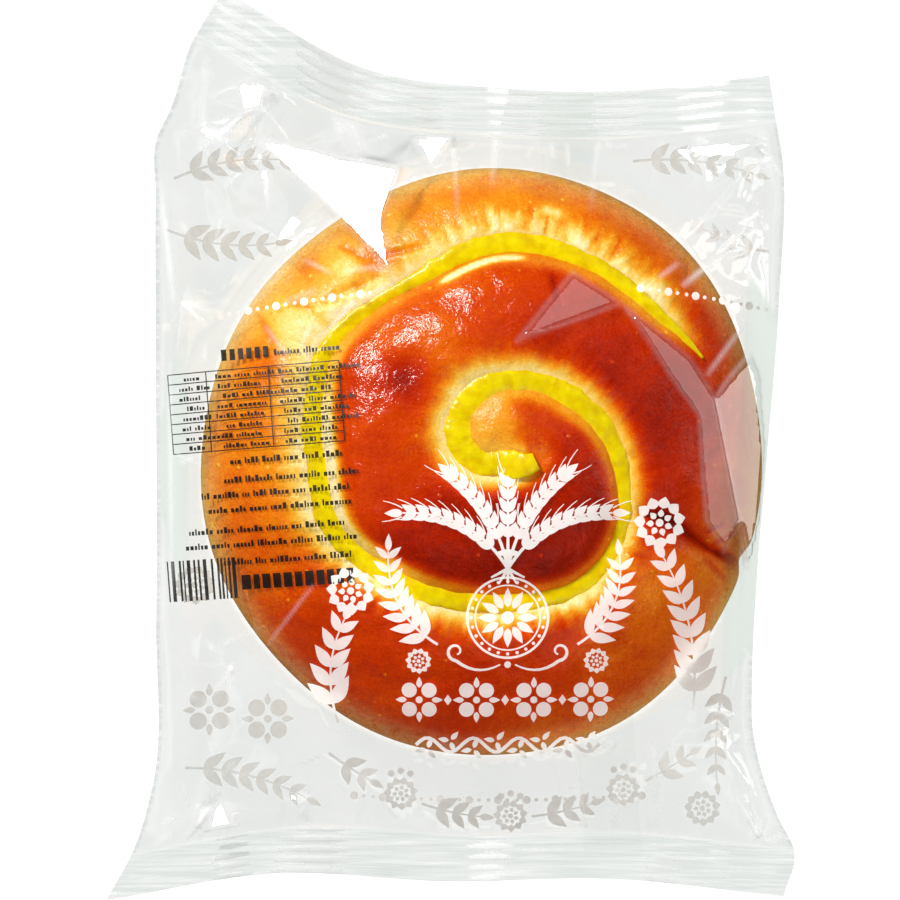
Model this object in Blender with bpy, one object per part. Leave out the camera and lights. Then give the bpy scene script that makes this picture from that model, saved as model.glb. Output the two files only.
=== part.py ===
"""A swirl custard bun in its clear pillow bag, as one closed solid.

The bag is a tube of thin film, crimped flat across both ends. It lies on its back with the
bun inside, so the solid is the outside of the film: flat under the bun, drawn up over the
bun's swirl, loose and puckered towards the two crimped ends.

Metres, +Z up. X runs across the bag and Y along it, towards the end whose corner stands up.
The origin is under the middle of the bag, on the surface that it lies on.
"""

import math

import bmesh
import bpy
import numpy as np

# The bun
BUN_RADIUS = 0.0592
BUN_HEIGHT = 0.0360
BUN_RIM_HEIGHT = 0.0100
BUN_BASE_RADIUS = 0.0470
BUN_CENTRE = (0.0069, -0.0025)

# The swirl: how far its groove lies from its own centre, at turns counted clockwise from the
# left, from the curl in the middle to the outer end
SWIRL_CENTRE = (0.0105, 0.0010)
SWIRL_RADII = (
    (-0.43, 0.0076),
    (-0.29, 0.0039),
    (-0.09, 0.0057),
    (0.03, 0.0086),
    (0.18, 0.0115),
    (0.29, 0.0134),
    (0.42, 0.0176),
    (0.54, 0.0250),
    (0.62, 0.0310),
    (0.74, 0.0317),
    (0.82, 0.0333),
    (0.92, 0.0378),
    (1.00, 0.0375),
    (1.08, 0.0401),
    (1.18, 0.0376),
    (1.25, 0.0406),
    (1.39, 0.0417),
    (1.44, 0.0452),
)
SWIRL_START, SWIRL_END = -0.36, 1.44
SWIRL_FADE = 0.12
ROPE_HALF_WIDTH = 0.0110
FILM_SAG = 0.0042

# The film, and the crimped band across each end
FILM_CLEARANCE = 0.0007
SEAL_DEPTH = 0.0100
SEAL_THICKNESS = 0.0008
CRIMP_PITCH = 0.0025
CRIMP_RISE = 0.0003

# The bag's plan: where its two sides run, as (y, x), and where its two ends run, as (share of
# the width from the left, y)
LEFT_SIDE = (
    (-0.0936, -0.0715),
    (-0.0836, -0.0660),
    (-0.0700, -0.0618),
    (-0.0350, -0.0608),
    (0.0300, -0.0609),
    (0.0520, -0.0608),
    (0.0650, -0.0600),
    (0.0690, -0.0578),
    (0.0840, -0.0524),
    (0.0940, -0.0464),
)
RIGHT_SIDE = (
    (-0.0926, 0.0692),
    (-0.0836, 0.0715),
    (-0.0760, 0.0680),
    (-0.0667, 0.0646),
    (-0.0580, 0.0627),
    (-0.0480, 0.0625),
    (-0.0280, 0.0634),
    (0.0000, 0.0657),
    (0.0310, 0.0681),
    (0.0600, 0.0686),
    (0.0685, 0.0672),
    (0.0773, 0.0659),
)
LOWER_END = ((0.0, -0.0936), (0.25, -0.0882), (0.5, -0.0898), (0.75, -0.0894), (1.0, -0.0926))
UPPER_END = ((0.0, 0.0940), (0.25, 0.0792), (0.5, 0.0752), (0.75, 0.0746), (1.0, 0.0773))

# How high the film's side folds and the two crimped ends stand, along the same shares, and how
# far the air in the bag swells the film at each step of its relaxing
SIDE_FOLD_HEIGHT = 0.0105
AIR_BULGE = 0.00001
LOWER_END_HEIGHT = ((0.0, 0.0060), (0.25, 0.0034), (0.5, 0.0044), (0.75, 0.0034), (1.0, 0.0080))
UPPER_END_HEIGHT = ((0.0, 0.0240), (0.25, 0.0100), (0.5, 0.0068), (0.75, 0.0076), (1.0, 0.0140))

# Cone-shaped puckers in the upper film, each from a point on the bun to a crest further out:
# (x, y of the point, x, y of the crest, half width and height there)
PUCKERS = (
    (-0.0045, 0.0590, -0.0038, 0.0700, 0.0045, 0.0020),
    (0.0355, 0.0293, 0.0600, 0.0560, 0.0100, 0.0036),
    (0.0540, 0.0100, 0.0660, -0.0250, 0.0070, 0.0030),
    (-0.0400, 0.0420, -0.0560, 0.0760, 0.0090, 0.0050),
    (-0.0350, -0.0450, -0.0600, -0.0800, 0.0120, 0.0040),
    (0.0450, -0.0440, 0.0640, -0.0790, 0.0110, 0.0046),
    (0.0060, -0.0640, 0.0020, -0.0790, 0.0100, 0.0024),
    (0.0340, 0.0560, 0.0420, 0.0680, 0.0080, 0.0024),
)
PUCKER_RUN_OUT = 0.35

# The flat facet that the film is drawn into, from a tip on the bun's shoulder out towards the
# standing corner: its corners, how far it leans from level, and the side that it leans towards
FACET_CORNERS = (
    (-0.0126, 0.0374),
    (-0.0260, 0.0505),
    (-0.0405, 0.0645),
    (-0.0330, 0.0630),
    (-0.0240, 0.0605),
    (-0.0102, 0.0580),
    (-0.0136, 0.0470),
)
FACET_LEAN = math.radians(22.6)
FACET_SIDE = math.radians(130.0)
FACET_SAMPLE = 0.0010

# Fineness of the faces
COLUMNS = 42
BODY_ROWS = 46
RELAX_STEPS = 2000
EDGE_ROUNDING_STEPS = 3

# The film's finish
CLEAR_FILM_COLOUR = (0.90, 0.91, 0.90, 1.0)
FILM_ALPHA = 0.45
FILM_ROUGHNESS = 0.12


def through(stations, at):
    """A smooth curve through the stations, read at the given places."""
    places, values = np.array(stations, float).T
    slopes = np.gradient(values, places)
    at = np.clip(at, places[0], places[-1])
    first = np.clip(np.searchsorted(places, at) - 1, 0, len(places) - 2)
    span = places[first + 1] - places[first]
    f = (at - places[first]) / span
    return (
        values[first] * (1 + 2 * f) * (1 - f) ** 2
        + slopes[first] * span * f * (1 - f) ** 2
        + values[first + 1] * (3 - 2 * f) * f**2
        - slopes[first + 1] * span * (1 - f) * f**2
    )


def eased(share):
    """0 below 0, 1 above 1 and an even S between them."""
    share = np.clip(share, 0.0, 1.0)
    return share * share * (3 - 2 * share)


def bun_share(x, y):
    """How far out a point lies on the bun, as a share of the bun's slightly uneven radius."""
    dx, dy = x - BUN_CENTRE[0], y - BUN_CENTRE[1]
    angle = np.arctan2(dy, dx)
    uneven = 1 + 0.020 * np.cos(2 * (angle - math.radians(80)))
    uneven += 0.012 * np.cos(3 * (angle - math.radians(60)))
    return np.hypot(dx, dy) / (BUN_RADIUS * uneven)


def swirl_dip(x, y):
    """From 0 on the crest of the coiled dough to 1 in its spiral groove."""
    dx, dy = x - SWIRL_CENTRE[0], y - SWIRL_CENTRE[1]
    radius = np.hypot(dx, dy)
    turn = 0.5 - np.arctan2(dy, dx) / (2 * math.pi)
    dip = np.zeros_like(radius)
    for lap in (-1, 0, 1):
        along = turn + lap
        shown = eased((along - SWIRL_START) / SWIRL_FADE) * eased((SWIRL_END - along) / SWIRL_FADE)
        away = np.abs(radius - through(SWIRL_RADII, along)) / ROPE_HALF_WIDTH
        near = np.clip(1 - away, 0.0, 1.0)
        dip = np.maximum(dip, shown * (1 - np.sqrt(1 - near**2)))
    return dip


def bun_top(x, y):
    """The height of the film where it lies on the bun, and below the floor outside the bun."""
    share = bun_share(x, y)
    crown = np.clip(1 - share**2.4, 0.0, 1.0) ** 0.62
    top = BUN_RIM_HEIGHT + (BUN_HEIGHT - BUN_RIM_HEIGHT) * crown
    top -= FILM_SAG * swirl_dip(x, y) * eased((1 - share) / 0.2)
    return np.where(share < 1, top + FILM_CLEARANCE, -1.0)


def bun_underside(x, y):
    """The height that the film under the bun stays below."""
    distance = np.hypot(x - BUN_CENTRE[0], y - BUN_CENTRE[1])
    outside = np.clip((distance - BUN_BASE_RADIUS) / (BUN_RADIUS - BUN_BASE_RADIUS), 0.0, 1.0)
    under = BUN_RIM_HEIGHT * (1 - np.sqrt(1 - outside**2))
    return np.where(bun_share(x, y) < 1, under, 1.0)


def row_places():
    """Each row's distance from the lower end, as (from that end, share of the body, from the
    upper end), where two of the three are None."""
    crimps = round(2 * SEAL_DEPTH / CRIMP_PITCH)
    band = [i * CRIMP_PITCH / 2 for i in range(crimps)]
    rows = [(distance, None, None) for distance in band]
    rows += [(None, i / BODY_ROWS, None) for i in range(BODY_ROWS + 1)]
    rows += [(None, None, distance) for distance in reversed(band)]
    return rows


def plan():
    """X and Y of the film's grid, and each row's share of the way along the body."""
    share = np.linspace(0.0, 1.0, COLUMNS + 1)
    lower, upper = through(LOWER_END, share), through(UPPER_END, share)
    rows = []
    along_body = []
    for from_lower, body, from_upper in row_places():
        if body is None:
            y = lower + from_lower if from_upper is None else upper - from_upper
            body = 0.0 if from_upper is None else 1.0
        else:
            first, last = lower + SEAL_DEPTH, upper - SEAL_DEPTH
            y = first + (last - first) * body
        left = through(LEFT_SIDE, y[0])
        right = through(RIGHT_SIDE, y[-1])
        rows.append((left + (right - left) * share, y))
        along_body.append(body)
    x = np.array([row[0] for row in rows])
    y = np.array([row[1] for row in rows])
    return x, y, np.array(along_body), share


def relaxed(z, held, bulge, lowest, highest):
    """The film drawn taut: every free point comes to the mean of its neighbours, swelled by the
    air, and kept between what lies under it and what lies over it."""
    for _ in range(RELAX_STEPS):
        mean = z.copy()
        mean[1:-1, 1:-1] = (z[:-2, 1:-1] + z[2:, 1:-1] + z[1:-1, :-2] + z[1:-1, 2:]) / 4
        z = np.where(held, z, np.clip(mean + bulge, lowest, highest))
    return z


def within(corners, x, y):
    """Whether each point lies inside the polygon."""
    inside = np.zeros(np.shape(x), bool)
    for (x0, y0), (x1, y1) in zip(corners, np.roll(corners, -1, axis=0)):
        rise = y1 - y0 if y1 != y0 else 1.0
        inside ^= ((y0 > y) != (y1 > y)) & (x < x0 + (x1 - x0) * (y - y0) / rise)
    return inside


def facet_plane(x, y):
    """The height of the flat facet's plane, which just touches the bun inside its corners."""
    fall_x = math.tan(FACET_LEAN) * math.cos(FACET_SIDE)
    fall_y = math.tan(FACET_LEAN) * math.sin(FACET_SIDE)
    low, high = np.min(FACET_CORNERS, axis=0), np.max(FACET_CORNERS, axis=0)
    near_x, near_y = np.meshgrid(
        np.arange(low[0], high[0], FACET_SAMPLE), np.arange(low[1], high[1], FACET_SAMPLE)
    )
    above = bun_top(near_x, near_y) + fall_x * near_x + fall_y * near_y
    level = above[within(FACET_CORNERS, near_x, near_y)].max()
    return level - fall_x * x - fall_y * y


def puckered(x, y):
    """How far the puckers lift the upper film."""
    lift = np.zeros_like(x)
    for from_x, from_y, to_x, to_y, half_width, height in PUCKERS:
        run_x, run_y = to_x - from_x, to_y - from_y
        length = math.hypot(run_x, run_y)
        along = ((x - from_x) * run_x + (y - from_y) * run_y) / length**2
        across = np.abs((x - from_x) * run_y - (y - from_y) * run_x) / length
        width = half_width * np.clip(along, 1e-6, None)
        ridge = np.clip(1 - across / width, 0.0, 1.0)
        faded = eased((1 + PUCKER_RUN_OUT - along) / PUCKER_RUN_OUT)
        lift = np.maximum(lift, height * np.clip(along, 0.0, 1.0) * ridge * faded)
    return lift


def film_heights(x, y, along_body, share):
    """Z of the upper and of the lower film over the grid."""
    lower_seal, upper_seal = through(LOWER_END_HEIGHT, share), through(UPPER_END_HEIGHT, share)
    banded = (along_body <= 0) | (along_body >= 1)
    blend = eased(along_body)[:, None]
    start = lower_seal * (1 - blend) + upper_seal * blend
    # Towards each end, the side folds run from their own height to the seal's
    near_end = eased(np.minimum(along_body, 1 - along_body) / 0.22)
    for side in (0, -1):
        start[:, side] += near_end * (SIDE_FOLD_HEIGHT - start[:, side])
    held = np.zeros_like(x, bool)
    held[banded] = True
    held[:, 0] = held[:, -1] = True
    beside_bun = eased((bun_share(x, y) - 0.85) / 0.25)
    facet = within(FACET_CORNERS, x, y)
    above = np.where(facet, facet_plane(x, y), start)
    upper = relaxed(above, held | facet, AIR_BULGE * beside_bun, bun_top(x, y), 1.0)
    lower = relaxed(start, held, -AIR_BULGE, 0.0, bun_underside(x, y))

    crimp = np.zeros(len(along_body))
    rows = np.flatnonzero(banded)
    crimp[rows] = CRIMP_RISE * np.where(rows % 2 == 0, 1.0, -1.0)
    slack = np.clip(np.minimum(share, 1 - share) / 0.08, 0.0, 1.0)
    away_from_seals = eased(np.minimum(along_body, 1 - along_body) / 0.06)[:, None]
    upper = upper + crimp[:, None] + SEAL_THICKNESS / 2
    lower = lower + crimp[:, None] - SEAL_THICKNESS / 2
    upper += puckered(x, y) * slack * away_from_seals
    lower = np.maximum(lower, 0.0)
    return np.maximum(upper, lower + SEAL_THICKNESS), lower


def rounded_folds(rings, along_body):
    """The rings with their side folds softened, least at the ends, where the film is pressed flat."""
    softness = eased(np.minimum(along_body, 1 - along_body) / 0.15)[:, None, None]
    count = rings.shape[1]
    near_fold = np.zeros(count)
    for fold in (0, COLUMNS, COLUMNS + 1, count - 1):
        near_fold[[(fold + step) % count for step in (-1, 0, 1)]] = 1.0
    for _ in range(EDGE_ROUNDING_STEPS):
        mean = (np.roll(rings, 1, axis=1) + np.roll(rings, -1, axis=1)) / 2
        rings = rings + 0.5 * softness * near_fold[None, :, None] * (mean - rings)
    return rings


def bag_rings():
    """Closed rings of points round the bag, one for each row, from the lower end to the upper."""
    x, y, along_body, share = plan()
    upper, lower = film_heights(x, y, along_body, share)
    over = np.stack([x, y, upper], axis=2)
    under = np.stack([x, y, lower], axis=2)[:, ::-1]
    rings = rounded_folds(np.concatenate([over, under], axis=1), along_body)
    low, high = rings.min(axis=(0, 1)), rings.max(axis=(0, 1))
    middle = (low + high) / 2
    return rings - np.array([middle[0], middle[1], low[2]])


def lofted(name, rings):
    """A closed body through the rings, with a strip of faces closing each end."""
    made = bmesh.new()
    points = [[made.verts.new(place) for place in ring] for ring in rings]
    count = len(points[0])
    for ring, following in zip(points, points[1:]):
        for i in range(count):
            j = (i + 1) % count
            made.faces.new((ring[i], ring[j], following[j], following[i]))
    for ring in (points[0], points[-1]):
        for i in range(count // 2 - 1):
            made.faces.new((ring[i], ring[i + 1], ring[count - 2 - i], ring[count - 1 - i]))
    bmesh.ops.recalc_face_normals(made, faces=made.faces)
    mesh = bpy.data.meshes.new(name)
    made.to_mesh(mesh)
    made.free()
    mesh.shade_smooth()
    return bpy.data.objects.new(name, mesh)


def clear_film():
    material = bpy.data.materials.new("clear film")
    material.use_nodes = True
    shader = material.node_tree.nodes["Principled BSDF"]
    shader.inputs["Base Color"].default_value = CLEAR_FILM_COLOUR
    shader.inputs["Alpha"].default_value = FILM_ALPHA
    shader.inputs["Roughness"].default_value = FILM_ROUGHNESS
    shader.inputs["Metallic"].default_value = 0.0
    return material


def main():
    for obj in list(bpy.data.objects):
        bpy.data.objects.remove(obj)
    collection = bpy.data.collections.new("custard bun pack")
    bpy.context.scene.collection.children.link(collection)
    bag = lofted("bag", bag_rings())
    bag.data.materials.append(clear_film())
    collection.objects.link(bag)


main()
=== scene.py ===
"""A swirl custard bun in its clear pillow bag: the baked dough, the custard, the film and its print.

Metres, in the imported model's frame: X across the bag, Y along it, Z up.
"""

import math

import bpy
import numpy as np
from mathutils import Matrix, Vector, geometry, kdtree, noise
from mathutils.bvhtree import BVHTree


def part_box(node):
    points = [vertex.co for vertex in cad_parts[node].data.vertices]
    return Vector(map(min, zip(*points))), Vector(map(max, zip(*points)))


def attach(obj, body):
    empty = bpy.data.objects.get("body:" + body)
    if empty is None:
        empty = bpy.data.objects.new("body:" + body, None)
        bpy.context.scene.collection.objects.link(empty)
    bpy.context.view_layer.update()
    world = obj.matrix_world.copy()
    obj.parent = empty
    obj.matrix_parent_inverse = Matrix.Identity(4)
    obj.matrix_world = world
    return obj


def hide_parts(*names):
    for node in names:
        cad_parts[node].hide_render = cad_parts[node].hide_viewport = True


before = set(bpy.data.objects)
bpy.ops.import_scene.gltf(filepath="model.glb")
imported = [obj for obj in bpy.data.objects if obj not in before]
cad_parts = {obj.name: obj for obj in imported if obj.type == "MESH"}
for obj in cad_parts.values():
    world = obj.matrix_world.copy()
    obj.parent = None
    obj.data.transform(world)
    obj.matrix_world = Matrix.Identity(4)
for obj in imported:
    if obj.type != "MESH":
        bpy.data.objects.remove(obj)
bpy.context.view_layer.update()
bag_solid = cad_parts["bag"]

# The dough: one rope of soft enriched dough, coiled into a flat swirl, proved until its laps
# grow together, washed with egg and baked. Its outer end is tucked in at the right. It is one
# closed mesh: a fine domed top, a rolled rim and a flat base.
MM = 0.001
BUN_CENTRE = (7.1 * MM, -2.6 * MM)
BUN_RADIUS = 59.4 * MM
BUN_HEIGHT = 35.4 * MM
BUN_RIM_HEIGHT = 10.0 * MM
BUN_BASE_RADIUS = 47.0 * MM
BUN_BASE_GAP = 0.3 * MM
BUN_PLAN_POWER, BUN_CROWN_POWER = 2.4, 0.62
BUN_CELLS, BUN_SIDE_RINGS, BUN_BASE_RINGS = 270, 10, 4
DOME_SAMPLES = 4000
# How its outline swells: (share of the radius, how many times round, degrees of the first), with a
# notch at the tucked end, in degrees and as a share of the radius
OUTLINE_SWELLS = ((0.024, 2, 80.0), (0.012, 3, 60.0), (0.004, 7, -8.185))
NOTCH_AT, NOTCH_WIDTH, NOTCH_DEPTH = -20.5, 2.6, 0.020

SWIRL_CENTRE = (10.5 * MM, 1.0 * MM)
# The groove between the laps: (turns clockwise from the left, mm from the swirl's centre)
GROOVE_LINE = (
    (-0.43, 7.6), (-0.36, 5.0), (-0.29, 3.9), (-0.20, 4.0), (-0.09, 5.7), (0.03, 8.6), (0.18, 11.5),
    (0.29, 13.4), (0.42, 17.6), (0.50, 22.4), (0.54, 25.0), (0.60, 29.6), (0.66, 32.4), (0.74, 31.7),
    (0.82, 33.3), (0.87, 35.0), (0.92, 37.8), (0.99, 37.4), (1.03, 38.6), (1.085, 40.1), (1.14, 38.1),
    (1.18, 37.6), (1.25, 40.6), (1.32, 41.0), (1.39, 41.7), (1.44, 45.2),
)
# How deep it is along the same turns, in mm
GROOVE_DEPTH = (
    (-0.43, 1.0), (-0.30, 3.6), (0.10, 5.6), (0.45, 5.6), (0.80, 6.4), (1.20, 6.6), (1.33, 4.8),
    (1.41, 1.8), (1.44, 0.2),
)
# Half the custard's width along them, in mm
CUSTARD_HALF_WIDTH = (
    (-0.43, 1.8), (-0.40, 2.4), (-0.20, 2.5), (-0.05, 3.1), (0.08, 2.9), (0.18, 2.9), (0.29, 2.2),
    (0.42, 2.6), (0.50, 2.1), (0.60, 1.5), (0.70, 2.1), (0.82, 2.3), (0.94, 2.6), (1.02, 2.7),
    (1.09, 2.2), (1.15, 1.6), (1.20, 2.4), (1.26, 2.7), (1.32, 2.0), (1.38, 1.5), (1.41, 0.9),
    (1.435, 0.3),
)
# How far the pale, unbrowned dough reaches beyond the custard on both sides, in mm
PALE_OUTWARD = (
    (-0.43, 2.4), (0.00, 3.4), (0.25, 3.4), (0.50, 3.0), (0.62, 3.2), (0.75, 4.2), (0.88, 3.4),
    (0.98, 4.4), (1.10, 4.6), (1.20, 4.0), (1.30, 5.0), (1.37, 4.0), (1.44, 2.5),
)
PALE_INWARD = ((-0.43, 1.8), (0.20, 2.0), (0.60, 1.6), (0.95, 1.5), (1.20, 1.3), (1.44, 2.0))
# How brown the dough is right beside the custard, outside and inside it, and the groove's depth in
# mm from which it shows fully
BROWN_OUTWARD = ((-0.43, 0.10), (0.30, 0.10), (0.50, 0.16), (0.80, 0.05), (1.05, 0.05), (1.44, 0.10))
BROWN_INWARD = (
    (-0.43, 0.22), (0.40, 0.32), (0.85, 0.30), (0.92, 0.06), (1.03, 0.06), (1.08, 0.26), (1.44, 0.30),
)
PALE_FROM_DEPTH = 2.4
# How strongly the proving dough has stretched and torn its skin outside the groove, from 0 to 1
STRETCH = (
    (-0.43, 0.0), (0.15, 0.3), (0.40, 0.45), (0.60, 0.4), (0.72, 0.9), (0.84, 0.8), (0.95, 0.35),
    (1.10, 0.4), (1.20, 0.6), (1.27, 1.0), (1.34, 1.0), (1.40, 0.4), (1.44, 0.0),
)
STRETCH_PITCH, STRETCH_LENGTH, STRETCH_RISE = 1.5 * MM, 7.5 * MM, 0.42 * MM
STRETCH_FADES = (1.0 * MM, 4.0 * MM)
STRETCH_PALER = 0.28
GROOVE_REACH_INWARD, GROOVE_REACH_OUTWARD = 10.5 * MM, 13.5 * MM
GROOVE_SAMPLES = 900

# Where the rope's end is tucked in, as a short crease out to the rim
TUCK_LINE = (
    (39.6, -13.2), (43.3, -13.8), (46.8, -15.9), (50.6, -18.6), (53.3, -20.3), (56.6, -21.4), (59.6, -22.6),
)
TUCK_DEPTH, TUCK_WIDTH, TUCK_SAMPLES = 3.2 * MM, 1.1 * MM, 120
# How much darker the crust is drawn along the tuck, and how wide: painted shade in its crease
TUCK_PAINTED_SHADE, TUCK_SHADE_WIDTH = 0.42, 1.0 * MM

# How brown the crust is at places on it: (x, y in mm, reach in mm, browning from 0 to 1)
BROWNED_PLACES = (
    (-44, 6, 13, 0.42), (-36, 32, 10, 0.24), (-24, 46, 11, 0.40), (-4, 54, 13, 0.38),
    (15, 57, 13, 0.45), (36, 51, 13, 0.53), (50, 37, 12, 0.52), (52, 25, 6, 0.72), (61, 10, 9, 0.54),
    (59, -8, 9, 0.50), (55, -31, 11, 0.48), (36, -50, 12, 0.56), (10, -47, 12, 0.70),
    (18, -58, 7, 0.52), (-14, -46, 12, 0.66), (-28, -35, 12, 0.66), (-42, -23, 12, 0.50),
    (-45, -8, 12, 0.45), (-17, 10, 9, 0.66), (-15, -5, 9, 0.64), (-6, 27, 8, 0.56), (10, 32, 8, 0.64),
    (24, 29, 9, 0.74), (37, 17, 9, 0.80), (46, 6, 9, 0.86), (45, -7, 8, 0.80), (-2, -19, 9, 0.86),
    (15, -23, 10, 0.92), (29, -10, 8, 0.84), (23, 0, 5, 0.76), (18, 5, 4, 0.60), (9, 4, 3.5, 0.34),
)
# Marks on it: (x, y, reach in mm, how much browner, how much higher in mm)
# Where a mark sinks and is made browner, that darkening is painted shade in the hollow
SKIN_SPOTS = (
    (-9.6, 15.0, 4.2, 0.26, -0.9), (-31.0, 25.0, 4.2, -0.22, 0.4), (-21.0, 37.5, 4.0, -0.22, 0.5),
    (-29.5, 37.5, 2.4, 0.14, -0.5), (-15.0, 38.0, 3.0, 0.10, -0.5), (-38.0, 20.0, 5.0, 0.12, 0.0),
    (20.0, 49.0, 1.1, -0.45, 0.1), (22.0, 48.6, 0.9, -0.40, 0.1), (-12.0, 46.0, 4.0, -0.10, 0.0),
    (47.0, 26.0, 4.0, 0.14, 0.0), (56.0, -19.0, 3.0, -0.10, 0.3),
)
# Fine creases in its skin: (from x, y, to x, y, depth, width in mm)
SKIN_CREASES = (
    (-39.5, 28.0, -35.8, 21.6, 0.6, 0.7), (-33.6, 30.6, -27.5, 28.4, 0.5, 0.8),
    (-26.5, 30.0, -14.0, 35.5, 0.6, 1.0), (-15.0, 39.5, -3.5, 42.0, 0.6, 0.8),
    (-23.0, 42.0, -17.0, 39.0, 0.4, 0.8), (52.0, -17.0, 56.5, -15.0, 0.4, 0.6),
    (53.5, -19.5, 58.5, -17.0, 0.4, 0.6), (54.0, -21.0, 59.0, -23.0, 0.4, 0.6),
    (52.0, -22.0, 57.0, -27.0, 0.3, 0.7), (20.5, 36.5, 22.0, 30.0, 0.3, 0.8),
)
# How much darker the crust is drawn along its fine creases: painted shade in them
CREASE_PAINTED_SHADE = 0.16
# A thin line of cream beside the groove, and the paler skin towards the rim
CREAM_LINE_TURNS, CREAM_LINE_FADE = (1.185, 1.275), 0.02
CREAM_LINE_AWAY, CREAM_LINE_WIDTH = 2.5 * MM, 0.55 * MM
RIM_PALER, RIM_PALE_FROM = 0.14, 0.955
GROOVE_RIM_FADE = 0.15
# The crust's lumps: (rise, size, octaves, seed), how near the rim they end, and one crumpled place
CRUST_LUMPS = ((0.7 * MM, 14 * MM, 3, 0.0), (0.10 * MM, 2.2 * MM, 2, 7.0))
LUMPS_RIM_FADE = 0.05
CRUMPLED_PLACE, CRUMPLE_RISE, CRUMPLE_SIZE = (-28, 32, 12), 0.45 * MM, 4.5 * MM


def through(stations, at):
    """A smooth curve through the stations, read at the given places."""
    places, values = np.array(stations, float).T
    slopes = np.gradient(values, places)
    at = np.clip(at, places[0], places[-1])
    first = np.clip(np.searchsorted(places, at) - 1, 0, len(places) - 2)
    span = places[first + 1] - places[first]
    f = (at - places[first]) / span
    return (
        values[first] * (1 + 2 * f) * (1 - f) ** 2
        + slopes[first] * span * f * (1 - f) ** 2
        + values[first + 1] * (3 - 2 * f) * f**2
        - slopes[first + 1] * span * (1 - f) * f**2
    )


def eased(share):
    """0 below 0, 1 above 1 and an even S between them."""
    share = np.clip(share, 0.0, 1.0)
    return share * share * (3 - 2 * share)


def ruffle(points, size, octaves=3, seed=0.0):
    """Smooth noise of about -1 to 1 at each point, with lumps of the given size."""
    shift = Vector((seed, seed * 0.37, -seed * 0.61))
    return np.array(
        [noise.fractal(Vector(p) / size + shift, 0.8, 2.1, octaves) for p in points]
    )


def uneven_radius(angle):
    """The bun's outline, which is a little egg-shaped, with a notch at the tucked end."""
    radius = 1.0
    for share, times, first in OUTLINE_SWELLS:
        radius = radius + share * np.cos(times * (angle - math.radians(first)))
    notch = (angle - math.radians(NOTCH_AT)) / math.radians(NOTCH_WIDTH)
    return BUN_RADIUS * (radius - NOTCH_DEPTH * np.exp(-(notch**2)))


groove_turns = np.linspace(GROOVE_LINE[0][0], GROOVE_LINE[-1][0], GROOVE_SAMPLES)
groove_radii = through(GROOVE_LINE, groove_turns) * MM
groove_angles = math.pi - 2 * math.pi * groove_turns
groove_line = np.stack(
    [
        SWIRL_CENTRE[0] + groove_radii * np.cos(groove_angles),
        SWIRL_CENTRE[1] + groove_radii * np.sin(groove_angles),
    ],
    axis=1,
)
groove_run = np.concatenate(
    [[0.0], np.cumsum(np.linalg.norm(np.diff(groove_line, axis=0), axis=1))]
)


def nearest_on(line, x, y):
    """For each point, the nearest sample of the line and how far away it is."""
    tree = kdtree.KDTree(len(line))
    for i, (px, py) in enumerate(line):
        tree.insert((px, py, 0.0), i)
    tree.balance()
    found = [tree.find((px, py, 0.0)) for px, py in zip(x, y)]
    return np.array([f[1] for f in found]), np.array([f[2] for f in found])


def smooth_line(points, samples):
    """A smooth line through points given in mm, as an array in metres."""
    points = np.array(points, float) * MM
    stations = np.linspace(0, 1, len(points))
    at = np.linspace(0, 1, samples)
    return np.stack(
        [through(np.stack([stations, points[:, k]], axis=1), at) for k in (0, 1)], axis=1
    )


tuck_line = smooth_line(TUCK_LINE, TUCK_SAMPLES)


def groove_facts(x, y):
    """Each point's distance from the groove, its side (1 outside, -1 inside) and the nearest sample."""
    index, away = nearest_on(groove_line, x, y)
    radius = np.hypot(x - SWIRL_CENTRE[0], y - SWIRL_CENTRE[1])
    side = np.where(radius > groove_radii[index], 1.0, -1.0)
    return away, side, index


def beside(x, y, start, end):
    """How far along a straight line each point lies, from 0 to 1, and its distance from the line."""
    run = end - start
    t = np.clip(((x - start[0]) * run[0] + (y - start[1]) * run[1]) / (run @ run), 0, 1)
    return t, np.hypot(x - start[0] - t * run[0], y - start[1] - t * run[1])


def line_mark(x, y, start, end, width):
    """1 on a straight line given in mm and falling to 0 beside it, tapered towards its ends."""
    t, away = beside(x, y, np.array(start) * MM, np.array(end) * MM)
    return np.exp(-((away / (width * MM)) ** 2)) * np.clip(4 * t * (1 - t), 0, 1) ** 0.5


def place_mark(x, y, px, py, reach):
    """1 at a place given in mm, and falling to 0 around it."""
    return np.exp(-((x - px * MM) ** 2 + (y - py * MM) ** 2) / (reach * MM) ** 2)


def beyond_custard(away, index):
    """How far a point is from the custard's edge, and 0 on it."""
    return np.maximum(away - through(CUSTARD_HALF_WIDTH, groove_turns[index]) * MM, 0.0)


def stretch_marks(away, side, index):
    """Ridges of torn skin across the groove's outer side, about -1 to 1, where the dough shows them."""
    run = groove_run[index]
    places = np.column_stack([run / STRETCH_PITCH, away / STRETCH_LENGTH, 0 * run])
    streaks = np.array([noise.fractal(Vector(p), 0.9, 2.2, 3) for p in places])
    beyond = beyond_custard(away, index)
    band = eased(beyond / STRETCH_FADES[0]) * eased((STRETCH_LENGTH - beyond) / STRETCH_FADES[1])
    return streaks * band * through(STRETCH, groove_turns[index]) * (side > 0)


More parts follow.
